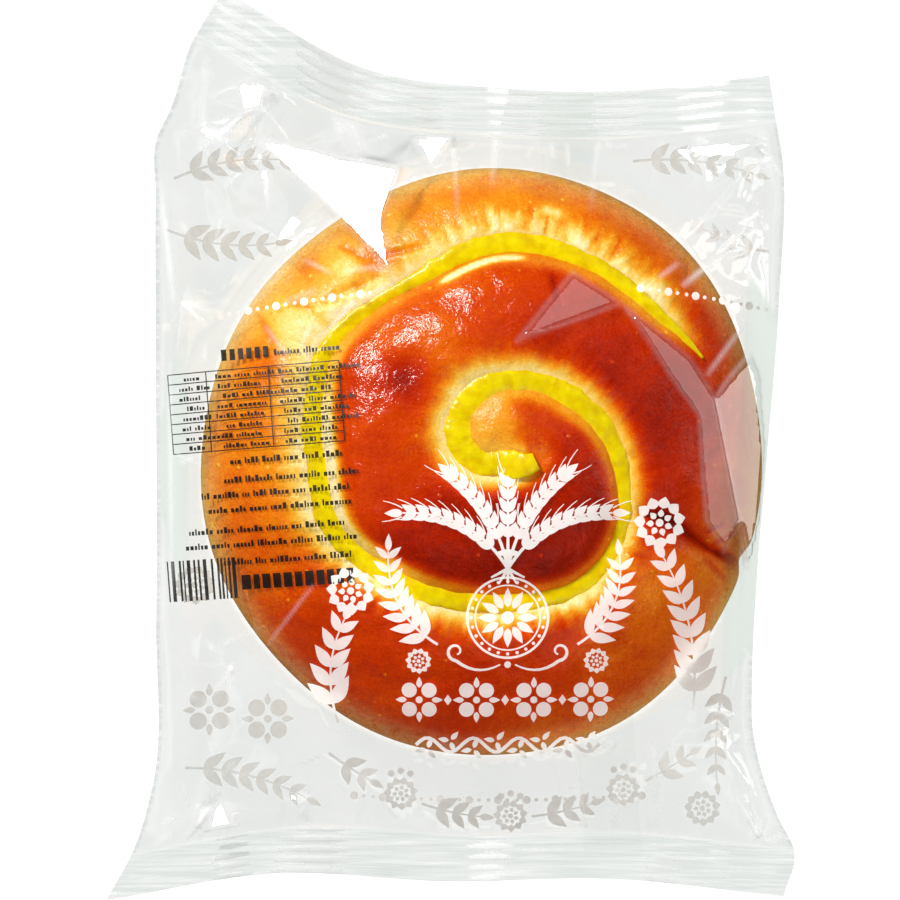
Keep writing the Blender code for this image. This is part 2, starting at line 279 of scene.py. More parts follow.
def dough_drop(x, y, share):
    """How far the groove, the tuck, the creases and the marks sink the crust at each point."""
    away, side, index = groove_facts(x, y)
    reach = np.where(side > 0, GROOVE_REACH_OUTWARD, GROOVE_REACH_INWARD)
    near = np.clip(1 - away / reach, 0.0, 1.0)
    depth = through(GROOVE_DEPTH, groove_turns[index]) * MM
    drop = depth * (1 - np.sqrt(1 - near**2)) * eased((1 - share) / GROOVE_RIM_FADE)
    _, from_tuck = nearest_on(tuck_line, x, y)
    drop += TUCK_DEPTH * np.exp(-from_tuck / TUCK_WIDTH)
    for x0, y0, x1, y1, deep, width in SKIN_CREASES:
        drop += deep * MM * line_mark(x, y, (x0, y0), (x1, y1), width)
    for px, py, spot_reach, _, rise in SKIN_SPOTS:
        drop -= rise * MM * place_mark(x, y, px, py, spot_reach)
    return drop - STRETCH_RISE * stretch_marks(away, side, index)


def browning_and_shade(x, y, share):
    """How brown the crust is, from 0 for raw-pale to 1 for the darkest, before fine mottling, with painted
    shade added in its creases, along the tuck and in its sunken marks.
    """
    away, side, index = groove_facts(x, y)
    turn = groove_turns[index]
    total = np.zeros_like(x)
    weight = np.full_like(x, 1e-6)
    for px, py, reach, value in BROWNED_PLACES:
        w = place_mark(x, y, px, py, reach)
        total += w * value
        weight += w
    brown = total / weight - RIM_PALER * eased((share - RIM_PALE_FROM) / (1 - RIM_PALE_FROM))
    # Marks are made browner or paler; in the sunken ones the darkening is painted shade
    for px, py, reach, darkened, _ in SKIN_SPOTS:
        brown += darkened * place_mark(x, y, px, py, reach)
    # The fine creases are darkened: painted shade in them
    for x0, y0, x1, y1, _, width in SKIN_CREASES:
        brown += CREASE_PAINTED_SHADE * line_mark(x, y, (x0, y0), (x1, y1), width)
    # The crust is darkened along the tuck: painted shade in its crease
    _, from_tuck = nearest_on(tuck_line, x, y)
    brown += TUCK_PAINTED_SHADE * np.exp(-from_tuck / TUCK_SHADE_WIDTH)
    reach = np.where(side > 0, through(PALE_OUTWARD, turn), through(PALE_INWARD, turn)) * MM
    shown = eased(through(GROOVE_DEPTH, turn) / PALE_FROM_DEPTH)
    pale = np.exp(-((beyond_custard(away, index) / reach) ** 2)) * shown
    least = np.where(side > 0, through(BROWN_OUTWARD, turn), through(BROWN_INWARD, turn))
    brown += (least - brown) * pale
    brown -= STRETCH_PALER * stretch_marks(away, side, index)
    first, last = CREAM_LINE_TURNS
    cream = eased((turn - first) / CREAM_LINE_FADE) * eased((last - turn) / CREAM_LINE_FADE) * (side < 0)
    brown -= cream * np.exp(-(((away - CREAM_LINE_AWAY) / CREAM_LINE_WIDTH) ** 2))
    return np.clip(brown, 0, 1)


def dome_profile(cells):
    """Share of the radius and of the height, at even steps from the crown to the rim."""
    angle = np.linspace(0, math.pi / 2, DOME_SAMPLES)
    share, height = np.sin(angle) ** (2 / BUN_PLAN_POWER), np.cos(angle) ** (2 * BUN_CROWN_POWER)
    run = np.hypot(np.diff(share) * BUN_RADIUS, np.diff(height) * (BUN_HEIGHT - BUN_RIM_HEIGHT))
    run = np.concatenate([[0.0], np.cumsum(run)])
    at = np.interp(np.linspace(0, 1, cells + 1), run / run[-1], angle)
    return np.sin(at) ** (2 / BUN_PLAN_POWER), np.cos(at) ** (2 * BUN_CROWN_POWER)


def new_piece(name, points, faces, material):
    """A smooth mesh object from points and faces, that rides on the bag's body and stands for it."""
    mesh = bpy.data.meshes.new(name)
    mesh.from_pydata([tuple(p) for p in points], [], [tuple(f) for f in faces])
    mesh.materials.append(material)
    mesh.shade_smooth()
    piece = bpy.data.objects.new(name, mesh)
    bpy.context.scene.collection.objects.link(piece)
    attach(piece, "root")
    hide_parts("bag")
    return piece


def grid_faces(rows, columns, first=0):
    """The faces of a grid of points that is stored row by row."""
    i, j = np.meshgrid(np.arange(rows - 1), np.arange(columns - 1), indexing="ij")
    corner = (first + i * columns + j).ravel()
    return np.stack([corner, corner + columns, corner + columns + 1, corner + 1], axis=1)


def add_values(piece, name, values):
    """Stores one number for each point of the piece's mesh, for its material to read."""
    layer = piece.data.attributes.new(name, "FLOAT", "POINT")
    layer.data.foreach_set("value", np.asarray(values, np.float32))


def dome_top():
    """The crust's top: a square grid drawn out to the round, and each point's share of the radius."""
    steps = np.linspace(-1, 1, BUN_CELLS + 1)
    u, v = np.meshgrid(steps, steps, indexing="ij")
    dx, dy = u * np.sqrt(1 - v**2 / 2), v * np.sqrt(1 - u**2 / 2)
    out = np.clip(np.hypot(dx, dy), 0, 1)
    angle = np.arctan2(dy, dx)
    shares, heights = dome_profile(BUN_CELLS)
    share = np.interp(out, np.linspace(0, 1, BUN_CELLS + 1), shares)
    height = np.interp(out, np.linspace(0, 1, BUN_CELLS + 1), heights)
    radius = uneven_radius(angle) * share
    x = (BUN_CENTRE[0] + radius * np.cos(angle)).ravel()
    y = (BUN_CENTRE[1] + radius * np.sin(angle)).ravel()
    z = (BUN_RIM_HEIGHT + (BUN_HEIGHT - BUN_RIM_HEIGHT) * height).ravel()
    share = share.ravel()
    flat = np.stack([x, y, np.zeros_like(x)], axis=1)
    z -= dough_drop(x, y, share)
    lumps = sum(rise * ruffle(flat, size, octaves, seed) for rise, size, octaves, seed in CRUST_LUMPS)
    z += lumps * eased((1 - share) / LUMPS_RIM_FADE)
    z += CRUMPLE_RISE * place_mark(x, y, *CRUMPLED_PLACE) * ruffle(flat, CRUMPLE_SIZE, 3, 5.0)
    return np.stack([x, y, z], axis=1), share


def under_rings(rim):
    """Rings of points that close the bun below its rim: the rolled side, then the flat base."""
    outward = rim[:, :2] - np.array(BUN_CENTRE)
    rim_radius = np.linalg.norm(outward, axis=1)
    outward /= rim_radius[:, None]
    rings = []
    for k in range(1, BUN_SIDE_RINGS + 1):
        turn = math.pi / 2 * k / BUN_SIDE_RINGS
        ring_radius = rim_radius + (BUN_BASE_RADIUS - rim_radius) * (1 - math.cos(turn))
        ring_z = rim[:, 2] * (1 - math.sin(turn)) + BUN_BASE_GAP * math.sin(turn)
        rings.append((ring_radius, ring_z))
    for k in range(1, BUN_BASE_RINGS + 1):
        share_in = 1 - k / (BUN_BASE_RINGS + 1)
        rings.append((rings[BUN_SIDE_RINGS - 1][0] * share_in, np.full(len(rim), BUN_BASE_GAP)))
    return [
        np.column_stack([np.array(BUN_CENTRE) + outward * radius[:, None], z]) for radius, z in rings
    ]


def dough_mesh():
    """The bun's points and faces, closed, and each point's share of the radius."""
    top, share = dome_top()
    n = BUN_CELLS + 1
    index = np.arange(n * n).reshape(n, n)
    previous = np.concatenate([index[:, 0], index[-1, 1:], index[-2::-1, -1], index[0, -2:0:-1]])
    points, faces = [top], [grid_faces(n, n)]
    for ring in under_rings(top[previous]):
        current = sum(len(p) for p in points) + np.arange(len(ring))
        faces.append(np.stack([previous, np.roll(previous, -1), np.roll(current, -1), current], axis=1))
        points.append(ring)
        previous = current
    centre = sum(len(p) for p in points)
    points.append(np.array([[BUN_CENTRE[0], BUN_CENTRE[1], BUN_BASE_GAP]]))
    fan = [(int(a), int(b), centre) for a, b in zip(previous, np.roll(previous, -1))]
    points = np.concatenate(points)
    shares = np.concatenate([share, np.full(len(points) - len(share), 1.0)])
    return points, [tuple(f) for f in np.concatenate(faces).tolist()] + fan, shares


def colour(red, green, blue):
    """A colour given as it looks on a screen, from 0 to 255, in the renderer's own units."""
    shares = [c / 255 for c in (red, green, blue)]
    return (*[s / 12.92 if s <= 0.04045 else ((s + 0.055) / 1.055) ** 2.4 for s in shares], 1.0)


def new_material(name):
    """An empty node material, its node tree and the socket that takes its surface."""
    material = bpy.data.materials.new(name)
    material.use_nodes = True
    tree = material.node_tree
    tree.nodes.clear()
    return material, tree, tree.nodes.new("ShaderNodeOutputMaterial").inputs["Surface"]


def added(tree, kind, inputs, output=0, **settings):
    """A new node's output. Its inputs are set to values or joined to other nodes' outputs."""
    node = tree.nodes.new(kind)
    for name, value in settings.items():
        setattr(node, name, value)
    for socket, value in inputs.items():
        if isinstance(value, bpy.types.NodeSocket):
            tree.links.new(value, node.inputs[socket])
        else:
            node.inputs[socket].default_value = value
    return node.outputs[output]


def grain_group():
    """A node group: smooth grain over the piece, evenly between two values."""
    group = bpy.data.node_groups.new("uneven grain", "ShaderNodeTree")
    for name, value in (("Scale", 400.0), ("Detail", 3.0), ("Low", 0.0), ("High", 1.0)):
        socket = group.interface.new_socket(name=name, in_out="INPUT", socket_type="NodeSocketFloat")
        socket.default_value = value
    group.interface.new_socket(name="Value", in_out="OUTPUT", socket_type="NodeSocketFloat")
    given = group.nodes.new("NodeGroupInput").outputs
    place = added(group, "ShaderNodeTexCoord", {}, "Object")
    grains = {"Vector": place, "Scale": given["Scale"], "Detail": given["Detail"]}
    lumps = added(group, "ShaderNodeTexNoise", grains, "Fac")
    spread = {"From Min": 0.25, "From Max": 0.75, "To Min": given["Low"], "To Max": given["High"]}
    value = added(group, "ShaderNodeMapRange", {"Value": lumps, **spread})
    group.links.new(value, group.nodes.new("NodeGroupOutput").inputs["Value"])
    return group


uneven_grain = grain_group()


def grain(tree, scale, low=0.0, high=1.0, detail=3.0):
    """The uneven grain in a material, with its own size and values."""
    values = {"Scale": scale, "Detail": detail, "Low": low, "High": high}
    return added(tree, "ShaderNodeGroup", values, node_tree=uneven_grain)


def reckoned(tree, operation, *values):
    """The result of a Math node on numbers or on other nodes' outputs."""
    return added(tree, "ShaderNodeMath", dict(enumerate(values)), operation=operation)


def read_value(tree, name):
    """One of the numbers that the piece's mesh holds for each point."""
    return added(tree, "ShaderNodeAttribute", {}, "Fac", attribute_name=name)


def set_stops(ramp, shades):
    """Gives a colour ramp its stops, from (value, colour) pairs in order."""
    stops = ramp.color_ramp.elements
    stops[0].position, stops[1].position = shades[0][0], shades[-1][0]
    for at, _ in shades[1:-1]:
        stops.new(at)
    for stop, (_, shade) in zip(stops, shades):
        stop.color = shade


def ramp_of(tree, value, shades):
    """The colour at a value, from (value, screen colour) pairs."""
    ramp = added(tree, "ShaderNodeValToRGB", {"Fac": value}, "Color")
    set_stops(ramp.node, [(at, colour(*shade)) for at, shade in shades])
    return ramp


def ranged(tree, value, low, high, at_low, at_high):
    """A value that runs evenly from one to another while the given one runs from low to high."""
    ends = {"From Min": low, "From Max": high, "To Min": at_low, "To Max": at_high}
    return added(tree, "ShaderNodeMapRange", {"Value": value, **ends})


def bumped(tree, height, distance, strength=1.0, normal=None):
    """A normal that follows a height, laid over another normal if one is given."""
    inputs = {"Strength": strength, "Distance": distance, "Height": height}
    if normal is not None:
        inputs["Normal"] = normal
    return added(tree, "ShaderNodeBump", inputs)


CRUST_COLOURS = (
    (0.00, (251, 230, 178)), (0.10, (248, 213, 124)), (0.22, (243, 185, 60)), (0.36, (236, 142, 16)),
    (0.50, (223, 99, 4)), (0.62, (206, 60, 0)), (0.76, (183, 36, 0)), (0.88, (150, 22, 0)),
    (1.00, (112, 13, 0)),
)
# The rim: its tan, where it begins, and grains of (scale, low, high) for its speckle and its tan
RIM_TAN, RIM_TAN_FROM = (226, 166, 104), 0.90
RIM_SPECKLE, RIM_TAN_GRAIN = (1700.0, 0.12, -0.30), (500.0, 0.15, 0.75)
# Fine mottling: (grain to the metre, how much browner or paler, detail)
CRUST_MOTTLES = ((110.0, 0.06, 4.0), (700.0, 0.03, 5.0), (2100.0, 0.05, 2.0))
# Blisters: cells to the metre, their size and soft edge in cells, and the share of cells without
BLISTER_CELLS, BLISTER_EDGE, BLISTER_RARITY = 330.0, (0.10, 0.18), 0.72
BLISTER_PALER, BLISTER_RISE = 0.17, 0.08 * MM
PORE_SCALE, PORE_DEPTH, PORE_STRENGTH = 500.0, 0.12 * MM, 0.7
FINE_PORE_SCALE, FINE_PORE_DEPTH = 1500.0, 0.08 * MM
PALE_ROUGHNESS, BROWN_ROUGHNESS = 0.45, 0.17


def blister_mask(tree):
    """1 on small round spots, scattered over some of the cells of a pattern."""
    place = added(tree, "ShaderNodeTexCoord", {}, "Object")
    away = added(tree, "ShaderNodeTexVoronoi", {"Scale": BLISTER_CELLS, "Vector": place}, "Distance")
    spot = ranged(tree, away, *BLISTER_EDGE, 1.0, 0.0)
    chosen = reckoned(tree, "GREATER_THAN", away.node.outputs["Color"], BLISTER_RARITY)
    return reckoned(tree, "MULTIPLY", spot, chosen)


def crust_material():
    """Browned by the mesh's own values, with fine mottling, blisters and the egg wash's shine. The values
    also carry painted shade in the crust's creases and hollows.
    """
    material, tree, surface = new_material("baked crust")
    brown, rim = read_value(tree, "browning_and_shade"), read_value(tree, "rim")
    shade = brown
    for scale, change, detail in CRUST_MOTTLES:
        shade = reckoned(tree, "ADD", shade, grain(tree, scale, -change, change, detail))

    # Small pale blisters, where bubbles in the dough have lifted the skin, and a paler, finely
    # speckled rim, where the wash ran thin
    blisters = blister_mask(tree)
    shade = reckoned(tree, "MULTIPLY_ADD", blisters, -BLISTER_PALER, shade)
    speckle = reckoned(tree, "MULTIPLY", rim, grain(tree, *RIM_SPECKLE))
    shade = reckoned(tree, "ADD", shade, speckle)
    tan = reckoned(tree, "MULTIPLY", rim, grain(tree, *RIM_TAN_GRAIN))
    colours = {"Factor": tan, "A": ramp_of(tree, shade, CRUST_COLOURS), "B": colour(*RIM_TAN)}
    tanned = added(tree, "ShaderNodeMix", colours, "Result", data_type="RGBA")

    # The egg wash shines on the browned skin and not on the pale dough
    normal = bumped(tree, grain(tree, PORE_SCALE), PORE_DEPTH, PORE_STRENGTH)
    normal = bumped(tree, blisters, BLISTER_RISE, 1.0, normal)
    normal = bumped(tree, grain(tree, FINE_PORE_SCALE, detail=2.0), FINE_PORE_DEPTH, 1.0, normal)
    skin = {
        "Base Color": tanned,
        "Roughness": ranged(tree, brown, 0.1, 0.6, PALE_ROUGHNESS, BROWN_ROUGHNESS),
        "Specular IOR Level": 0.35,
        "Normal": normal,
    }
    tree.links.new(added(tree, "ShaderNodeBsdfPrincipled", skin), surface)
    return material


dough_points, dough_faces, dough_shares = dough_mesh()
dough = new_piece("dough", dough_points, dough_faces, crust_material())
# The crust's browning, with painted shade in its creases, along the tuck and in its hollows
add_values(dough, "browning_and_shade", browning_and_shade(dough_points[:, 0], dough_points[:, 1], dough_shares))
add_values(dough, "rim", eased((dough_shares - RIM_TAN_FROM) / (1 - RIM_TAN_FROM)))

# The custard: a soft thick cream piped along the groove before baking, so that it has set,
# spread against the dough on both sides and keeps an uneven, lumpy top.
CUSTARD_ROWS, CUSTARD_COLUMNS = 900, 28
CUSTARD_RISE, CUSTARD_SINK, CUSTARD_LEVEL = 0.7 * MM, 1.6 * MM, 1.5 * MM
CUSTARD_FULL_WIDTH = 2.0 * MM
CUSTARD_EDGE_RUFFLE, CUSTARD_EDGE_LUMPS, CUSTARD_EDGE_SEEDS = 0.22, 3.5 * MM, (3.0, 9.0)
CUSTARD_LUMP_RISE, CUSTARD_LUMPS = 0.10 * MM, 2.6 * MM
LEVELLED_ROWS = 12
CURD_SCALE, CURD_DEPTH = 420.0, 0.2 * MM
CUSTARD_COLOURS = ((0.10, (216, 176, 0)), (0.60, (228, 201, 0)), (0.95, (238, 214, 6)))


def crust_height(x, y):
    """The crust's height under each point of a flat array, from the finished dough mesh."""
    heights = []
    for px, py in zip(x, y):
        hit = dough_tree.ray_cast(Vector((px, py, 0.1)), Vector((0, 0, -1)))[0]
        heights.append(hit.z if hit else BUN_RIM_HEIGHT)
    return np.array(heights)


def custard_mesh():
    """A closed ribbon along the groove, with uneven edges and a top that bulges over them."""
    turns = np.linspace(CUSTARD_HALF_WIDTH[0][0], CUSTARD_HALF_WIDTH[-1][0], CUSTARD_ROWS)
    rows = np.interp(turns, groove_turns, np.arange(GROOVE_SAMPLES))
    cx = np.interp(rows, np.arange(GROOVE_SAMPLES), groove_line[:, 0])
    cy = np.interp(rows, np.arange(GROOVE_SAMPLES), groove_line[:, 1])
    tangent = np.stack([np.gradient(cx), np.gradient(cy)], axis=1)
    tangent /= np.linalg.norm(tangent, axis=1)[:, None]
    across = np.stack([-tangent[:, 1], tangent[:, 0]], axis=1)
    half = through(CUSTARD_HALF_WIDTH, turns) * MM
    middle = np.column_stack([cx, cy, turns * 0])
    edges = [
        half * (1 + CUSTARD_EDGE_RUFFLE * ruffle(middle, CUSTARD_EDGE_LUMPS, 3, seed))
        for seed in CUSTARD_EDGE_SEEDS
    ]
    angles = np.linspace(0, 2 * math.pi, CUSTARD_COLUMNS, endpoint=False)
    points = []
    base = crust_height(cx, cy)
    window = np.ones(2 * LEVELLED_ROWS + 1) / (2 * LEVELLED_ROWS + 1)
    levelled = np.convolve(np.pad(base, LEVELLED_ROWS, mode="edge"), window, mode="valid")
    rise = CUSTARD_RISE * np.clip(half / CUSTARD_FULL_WIDTH, 0.3, 1.0)
    level = levelled + CUSTARD_LEVEL * np.clip(half / CUSTARD_FULL_WIDTH, 0.2, 1.3)
    for a in angles:
        offset = edges[0] * max(math.cos(a), 0) + edges[1] * min(math.cos(a), 0)
        lift = math.sin(a)
        height = level + (rise if lift > 0 else CUSTARD_SINK) * lift
        points.append(np.column_stack([cx + across[:, 0] * offset, cy + across[:, 1] * offset, height]))
    points = np.stack(points, axis=1).reshape(-1, 3)
    points[:, 2] += CUSTARD_LUMP_RISE * ruffle(points, CUSTARD_LUMPS, 3, 11.0)
    faces = []
    for i in range(CUSTARD_ROWS - 1):
        for j in range(CUSTARD_COLUMNS):
            k = (j + 1) % CUSTARD_COLUMNS
            a, b = i * CUSTARD_COLUMNS, (i + 1) * CUSTARD_COLUMNS
            faces.append((a + j, a + k, b + k, b + j))
    faces.append(tuple(reversed(range(CUSTARD_COLUMNS))))
    last = (CUSTARD_ROWS - 1) * CUSTARD_COLUMNS
    faces.append(tuple(last + j for j in range(CUSTARD_COLUMNS)))
    return points, faces


def custard_material():
    """Moist set cream with soft curds in it."""
    material, tree, surface = new_material("custard")
    curds = grain(tree, CURD_SCALE, detail=4.0)
    cream = {
        "Base Color": ramp_of(tree, curds, CUSTARD_COLOURS),
        "Roughness": 0.24,
        "Specular IOR Level": 0.25,
        "Normal": bumped(tree, curds, CURD_DEPTH, 0.5),
    }
    tree.links.new(added(tree, "ShaderNodeBsdfPrincipled", cream), surface)
    return material


dough_tree = BVHTree.FromObject(dough, bpy.context.evaluated_depsgraph_get())
custard = new_piece("custard", *custard_mesh(), custard_material())

# The bag: one sheet of thin clear film, folded to a tube with a seam down its back and crimped
# between toothed jaws across both ends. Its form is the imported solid's, with the crimps and
# creases that are too fine for it.
SEAL_DEPTH, SEAL_EVENING_STEPS = 10.0 * MM, 120
LEFT_SIDE = (
    (-93.6, -71.5), (-83.6, -66.0), (-70.0, -61.8), (-35.0, -60.8), (30.0, -60.9), (52.0, -60.8),
    (65.0, -60.0), (69.0, -57.8), (84.0, -52.4), (94.0, -46.4),
)
RIGHT_SIDE = (
    (-92.6, 69.2), (-83.6, 71.5), (-76.0, 68.0), (-66.7, 64.6), (-58.0, 62.7), (-48.0, 62.5),
    (-28.0, 63.4), (0.0, 65.7), (31.0, 68.1), (60.0, 68.6), (68.5, 67.2), (77.3, 65.9),
)
LOWER_END = ((0.0, -93.6), (0.25, -88.2), (0.5, -89.8), (0.75, -89.4), (1.0, -92.6))
UPPER_END = ((0.0, 94.0), (0.25, 79.2), (0.5, 75.2), (0.75, 74.6), (1.0, 77.3))
FRONT_COLUMNS, BACK_COLUMNS = 250, 90
FILM_BODY_ROWS, FILM_SEAL_ROWS = 270, 36
# The jaws' ribs, with finer ones on them, and the slow waves along the seals
CRIMP_PITCH, CRIMP_RISE, FINE_RIB_SHARE = 2.2 * MM, 0.17 * MM, 0.3
SEAL_WAVE_RISE, SEAL_WAVE_SIZE, SEAL_WAVE_STRETCH = 0.9 * MM, 17.0 * MM, 0.25
LAYER_GAP, FILM_CLEARANCE = 0.06 * MM, 0.35 * MM
DRAPE_STEPS, DRAPE_SLACK = 160, 0.25
FORM_SOFTENING, OFF_BUN_FADE = 6, 6.0 * MM
# Shares of the bag's width and of its body's length in which its folds fade out
FOLD_REACH, FACET_FOLD_SHARE, FACET_END_REACH, LOOSE_END_REACH = 0.09, 0.6, 0.04, 0.012
SIDE_INSET, END_INSET = 0.012, 0.6 * MM
PRESSED_SHARE, PRESSED_REACH = 0.055, 8.0 * MM
# How much duller the film's shine is in the seals and behind, and how its folds whiten it (partly painted
# glints)
SEAL_DULLING, BACK_DULLING = 0.45, 0.25
WHITE_FROM_RISE, SEAL_WHITE_AND_GLINT_SHARE = 0.5 * MM, 0.9


def film_plan(columns):
    """X and Y of a grid over the film, each row's place on the body and in a seal, each column's share."""
    share = np.linspace(0, 1, columns + 1)
    lower, upper = through(LOWER_END, share) * MM, through(UPPER_END, share) * MM
    band = SEAL_DEPTH * np.arange(FILM_SEAL_ROWS) / FILM_SEAL_ROWS
    rows = [(lower + d, 0.0, SEAL_DEPTH - d) for d in band]
    first, last = lower + SEAL_DEPTH, upper - SEAL_DEPTH
    for k in range(FILM_BODY_ROWS + 1):
        s = k / FILM_BODY_ROWS
        rows.append((first + (last - first) * s, s, 0.0))
    rows += [(upper - d, 1.0, SEAL_DEPTH - d) for d in band[::-1]]
    y = np.array([row[0] for row in rows])
    left = through(LEFT_SIDE, y[:, 0] / MM) * MM
    right = through(RIGHT_SIDE, y[:, -1] / MM) * MM
    x = left[:, None] + (right - left)[:, None] * share[None, :]
    return x, y, np.array([row[1] for row in rows]), np.array([row[2] for row in rows]), share


bag_low, bag_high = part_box("bag")
bag_tree = BVHTree.FromPolygons(
    [v.co for v in bag_solid.data.vertices], [p.vertices for p in bag_solid.data.polygons]
)


def seen_height(tree, px, py, direction):
    """Where a ray from far above (1) or far below (-1) meets the surface, or None."""
    hit = tree.ray_cast(Vector((px, py, 0.2 * direction)), Vector((0, 0, -direction)))[0]
    return hit.z if hit else None


def solid_heights(x, y, share, direction):
    """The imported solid's surface over the film's grid, seen from above (1) or from below (-1)."""
    heights = np.full(x.shape, np.nan)
    inset = np.clip(share, SIDE_INSET, 1 - SIDE_INSET)
    for i in range(x.shape[0]):
        for j in range(x.shape[1]):
            px = x[i, 0] + (x[i, -1] - x[i, 0]) * inset[j]
            py = min(max(y[i, j], bag_low[1] + END_INSET), bag_high[1] - END_INSET)
            found = seen_height(bag_tree, px, py, direction)
            heights[i, j] = np.nan if found is None else found
    return heights


def filled(heights):
    """The heights with the gaps at ragged edges taken from the nearest place that has one."""
    for i in range(heights.shape[0]):
        known = np.flatnonzero(~np.isnan(heights[i]))
        if len(known):
            heights[i] = np.interp(np.arange(heights.shape[1]), known, heights[i, known])
    for i in range(heights.shape[0] - 2, -1, -1):
        if np.isnan(heights[i]).all():
            heights[i] = heights[i + 1]
    for i in range(1, heights.shape[0]):
        if np.isnan(heights[i]).all():
            heights[i] = heights[i - 1]
    return heights


def softened(values, steps):
    """The grid's values, averaged with their neighbours a number of times."""
    for _ in range(steps):
        padded = np.pad(values, 1, mode="edge")
        values = (
            padded[:-2, 1:-1] + padded[2:, 1:-1] + padded[1:-1, :-2] + padded[1:-1, 2:]
        ) / 8 + values / 2
    return values


# Where the tight film is drawn up into points: x and y in mm, and how far they stand off the
# smooth form in mm. Straight creases join some of them.
CREASE_POINTS = {
    "rim high": (46.0, 45.0, 1.2),
    "rim upper": (56.0, 31.0, 1.8),
    "lower tip": (10.0, -21.0, 0.2),
    "lower left": (2.0, -41.0, 0.9),
    "lower right": (19.5, -43.0, 0.9),
    "fan tip": (-14.2, -41.6, 0.7),
    "fan foot": (-2.3, -50.0, 1.2),
    "fan side": (-22.0, -47.0, 1.0),
    "lower right corner": (60.0, -66.0, 1.8),
    "lower left corner": (-52.0, -70.0, 1.8),
}
CREASES = (("lower tip", "lower left"), ("lower tip", "lower right"), ("fan tip", "fan foot"))
# The facets that the film is pulled flat into, so that each mirrors one light: its corners in mm,
# how it leans, in degrees from level towards a side, how white its creased edges are, and how far
# it clears the film's smooth form in mm. The last two meet along one crease.
SHARED_CREASE = ((54.1, 10.2), (57.4, -6.1), (59.25, -15.4))
GLARE = (
    (-11.7, 33.6), (-13.4, 37.6), (-26.0, 50.5), (-40.5, 64.5), (-33.0, 63.0), (-24.0, 60.5),
    (-10.2, 58.0), (-13.6, 47.0), (-12.2, 38.4),
)
VALLEY = (
    (35.6, 29.0), (39.9, 22.7), (45.1, 14.8), (50.8, 7.2), (51.6, -6.1), (52.3, -14.6), (56.0, -20.5),
    *SHARED_CREASE[::-1], (53.1, 12.3), (48.9, 18.6), (42.2, 24.0),
)
FLANK = (
    *SHARED_CREASE, (61.2, -24.5), (63.4, -15.4), (64.6, -6.1), (64.9, 2.0), (63.8, 15.5), (61.9, 20.0),
    (57.0, 14.5),
)
KEY_LEAN, KEY_SIDE = 22.6, 130.0
FACET_GAP = 0.25
FLAT_FACETS = (
    (GLARE, KEY_LEAN, KEY_SIDE, 0.25, FACET_GAP),
    (((-7.5, 65.0), (1.0, 65.0), (-4.4, 57.4)), KEY_LEAN, KEY_SIDE, 0.1, FACET_GAP),
    (((-43.3, 75.7), (-37.2, 75.9), (-38.5, 70.0), (-42.4, 69.4)), KEY_LEAN, KEY_SIDE, 0.1, FACET_GAP),
    (((45.6, 62.2), (56.0, 63.6), (65.4, 63.4), (60.0, 61.0), (52.0, 61.2)), 24.9, 140.0, 0.1, FACET_GAP),
    (((-53.0, 66.0), (-49.5, 67.0), (-46.5, 62.4), (-50.5, 63.5)), KEY_LEAN, KEY_SIDE, 0.1, FACET_GAP),
    (((-50.6, -79.0), (-47.6, -72.6), (-44.2, -77.6)), 26.7, 117.0, 0.1, FACET_GAP),
    (((-34.6, -72.6), (-32.4, -70.2), (-31.4, -73.4)), 25.7, 119.0, 0.1, FACET_GAP),
    (((13.6, 22.0), (34.6, 29.8), (24.9, 35.9)), 20.0, 50.0, 0.15, FACET_GAP),
    (VALLEY, 30.0, 10.0, 0.15, FACET_GAP),
    (FLANK, 39.0, 10.4, 0.3, 0.80),
)
FACET_EDGE_WIDTH = 0.9 * MM
# Random low points of the net off the bun: their pitch, how far each strays as a share of it, how
# high they stand and how far they keep from the facets' corners and the named points, in mm
SCATTER_PITCH, SCATTER_STRAY, SCATTER_LIFT, SCATTER_CLEAR = 6.0, 0.42, 1.0, 3.0
SCATTER_X, SCATTER_Y = (-74, 78), (-92, 96)
BARE_HEIGHT, CROSSING_LIFT = 4.0 * MM, 0.4 * MM

# Fine straight creases that stand up from the film: from x, y, to x, y, height and width in mm
FINE_CREASES = (
    (-33.4, 75.4, -44.3, 61.4, 0.50, 0.7), (-33.6, 74.8, -51.8, 61.2, 0.50, 0.7),
    (-39.5, 64.0, -45.4, 58.3, 0.40, 0.6), (-36.4, 61.9, -47.0, 53.7, 0.40, 0.6),
    (-19.2, 30.7, -25.7, 23.2, 0.40, 0.6), (-34.0, 30.0, -27.0, 33.0, 0.20, 0.9),
    (-31.0, 20.5, -27.5, 27.0, 0.22, 0.8), (-24.5, 27.5, -13.0, 33.0, 0.22, 1.0),
    (-38.0, 25.5, -33.0, 19.0, 0.20, 0.8), (-22.0, 36.5, -13.5, 37.4, 0.20, 0.9),
    (-30.0, 39.0, -24.0, 36.0, 0.20, 0.8), (-27.6, -27.2, -37.4, -39.9, 0.22, 0.5),
    (61.0, 64.4, 69.0, 56.4, 0.50, 0.7), (54.3, 39.1, 62.3, 46.8, 0.45, 0.7),
    (47.4, 33.4, 54.8, 39.3, 0.45, 1.0), (42.4, 35.0, 47.0, 38.4, 0.30, 0.8),
    (52.3, 15.0, 61.2, 26.5, 0.35, 0.9), (54.0, 9.6, 56.2, 1.0, 0.50, 0.6),
    (60.5, -15.6, 60.0, -33.0, 0.30, 0.9), (-51.8, -77.7, -56.6, -82.6, 0.50, 0.7),
    (-51.8, -77.7, -47.4, -70.0, 0.40, 0.7), (62.7, -82.6, 65.0, -75.7, 0.50, 0.7),
    (62.7, -82.6, 69.4, -79.4, 0.50, 0.7), (20.0, 73.0, 21.5, 60.0, 0.35, 0.8),
    (24.0, 73.0, 24.5, 58.0, 0.30, 0.7), (28.0, -79.0, 26.0, -62.0, 0.35, 0.8),
    (43.0, -79.0, 42.0, -60.0, 0.35, 0.8), (-60.0, 56.0, -57.0, 30.0, 0.40, 0.9),
    (-58.0, 20.0, -57.5, -30.0, 0.30, 0.8),
)
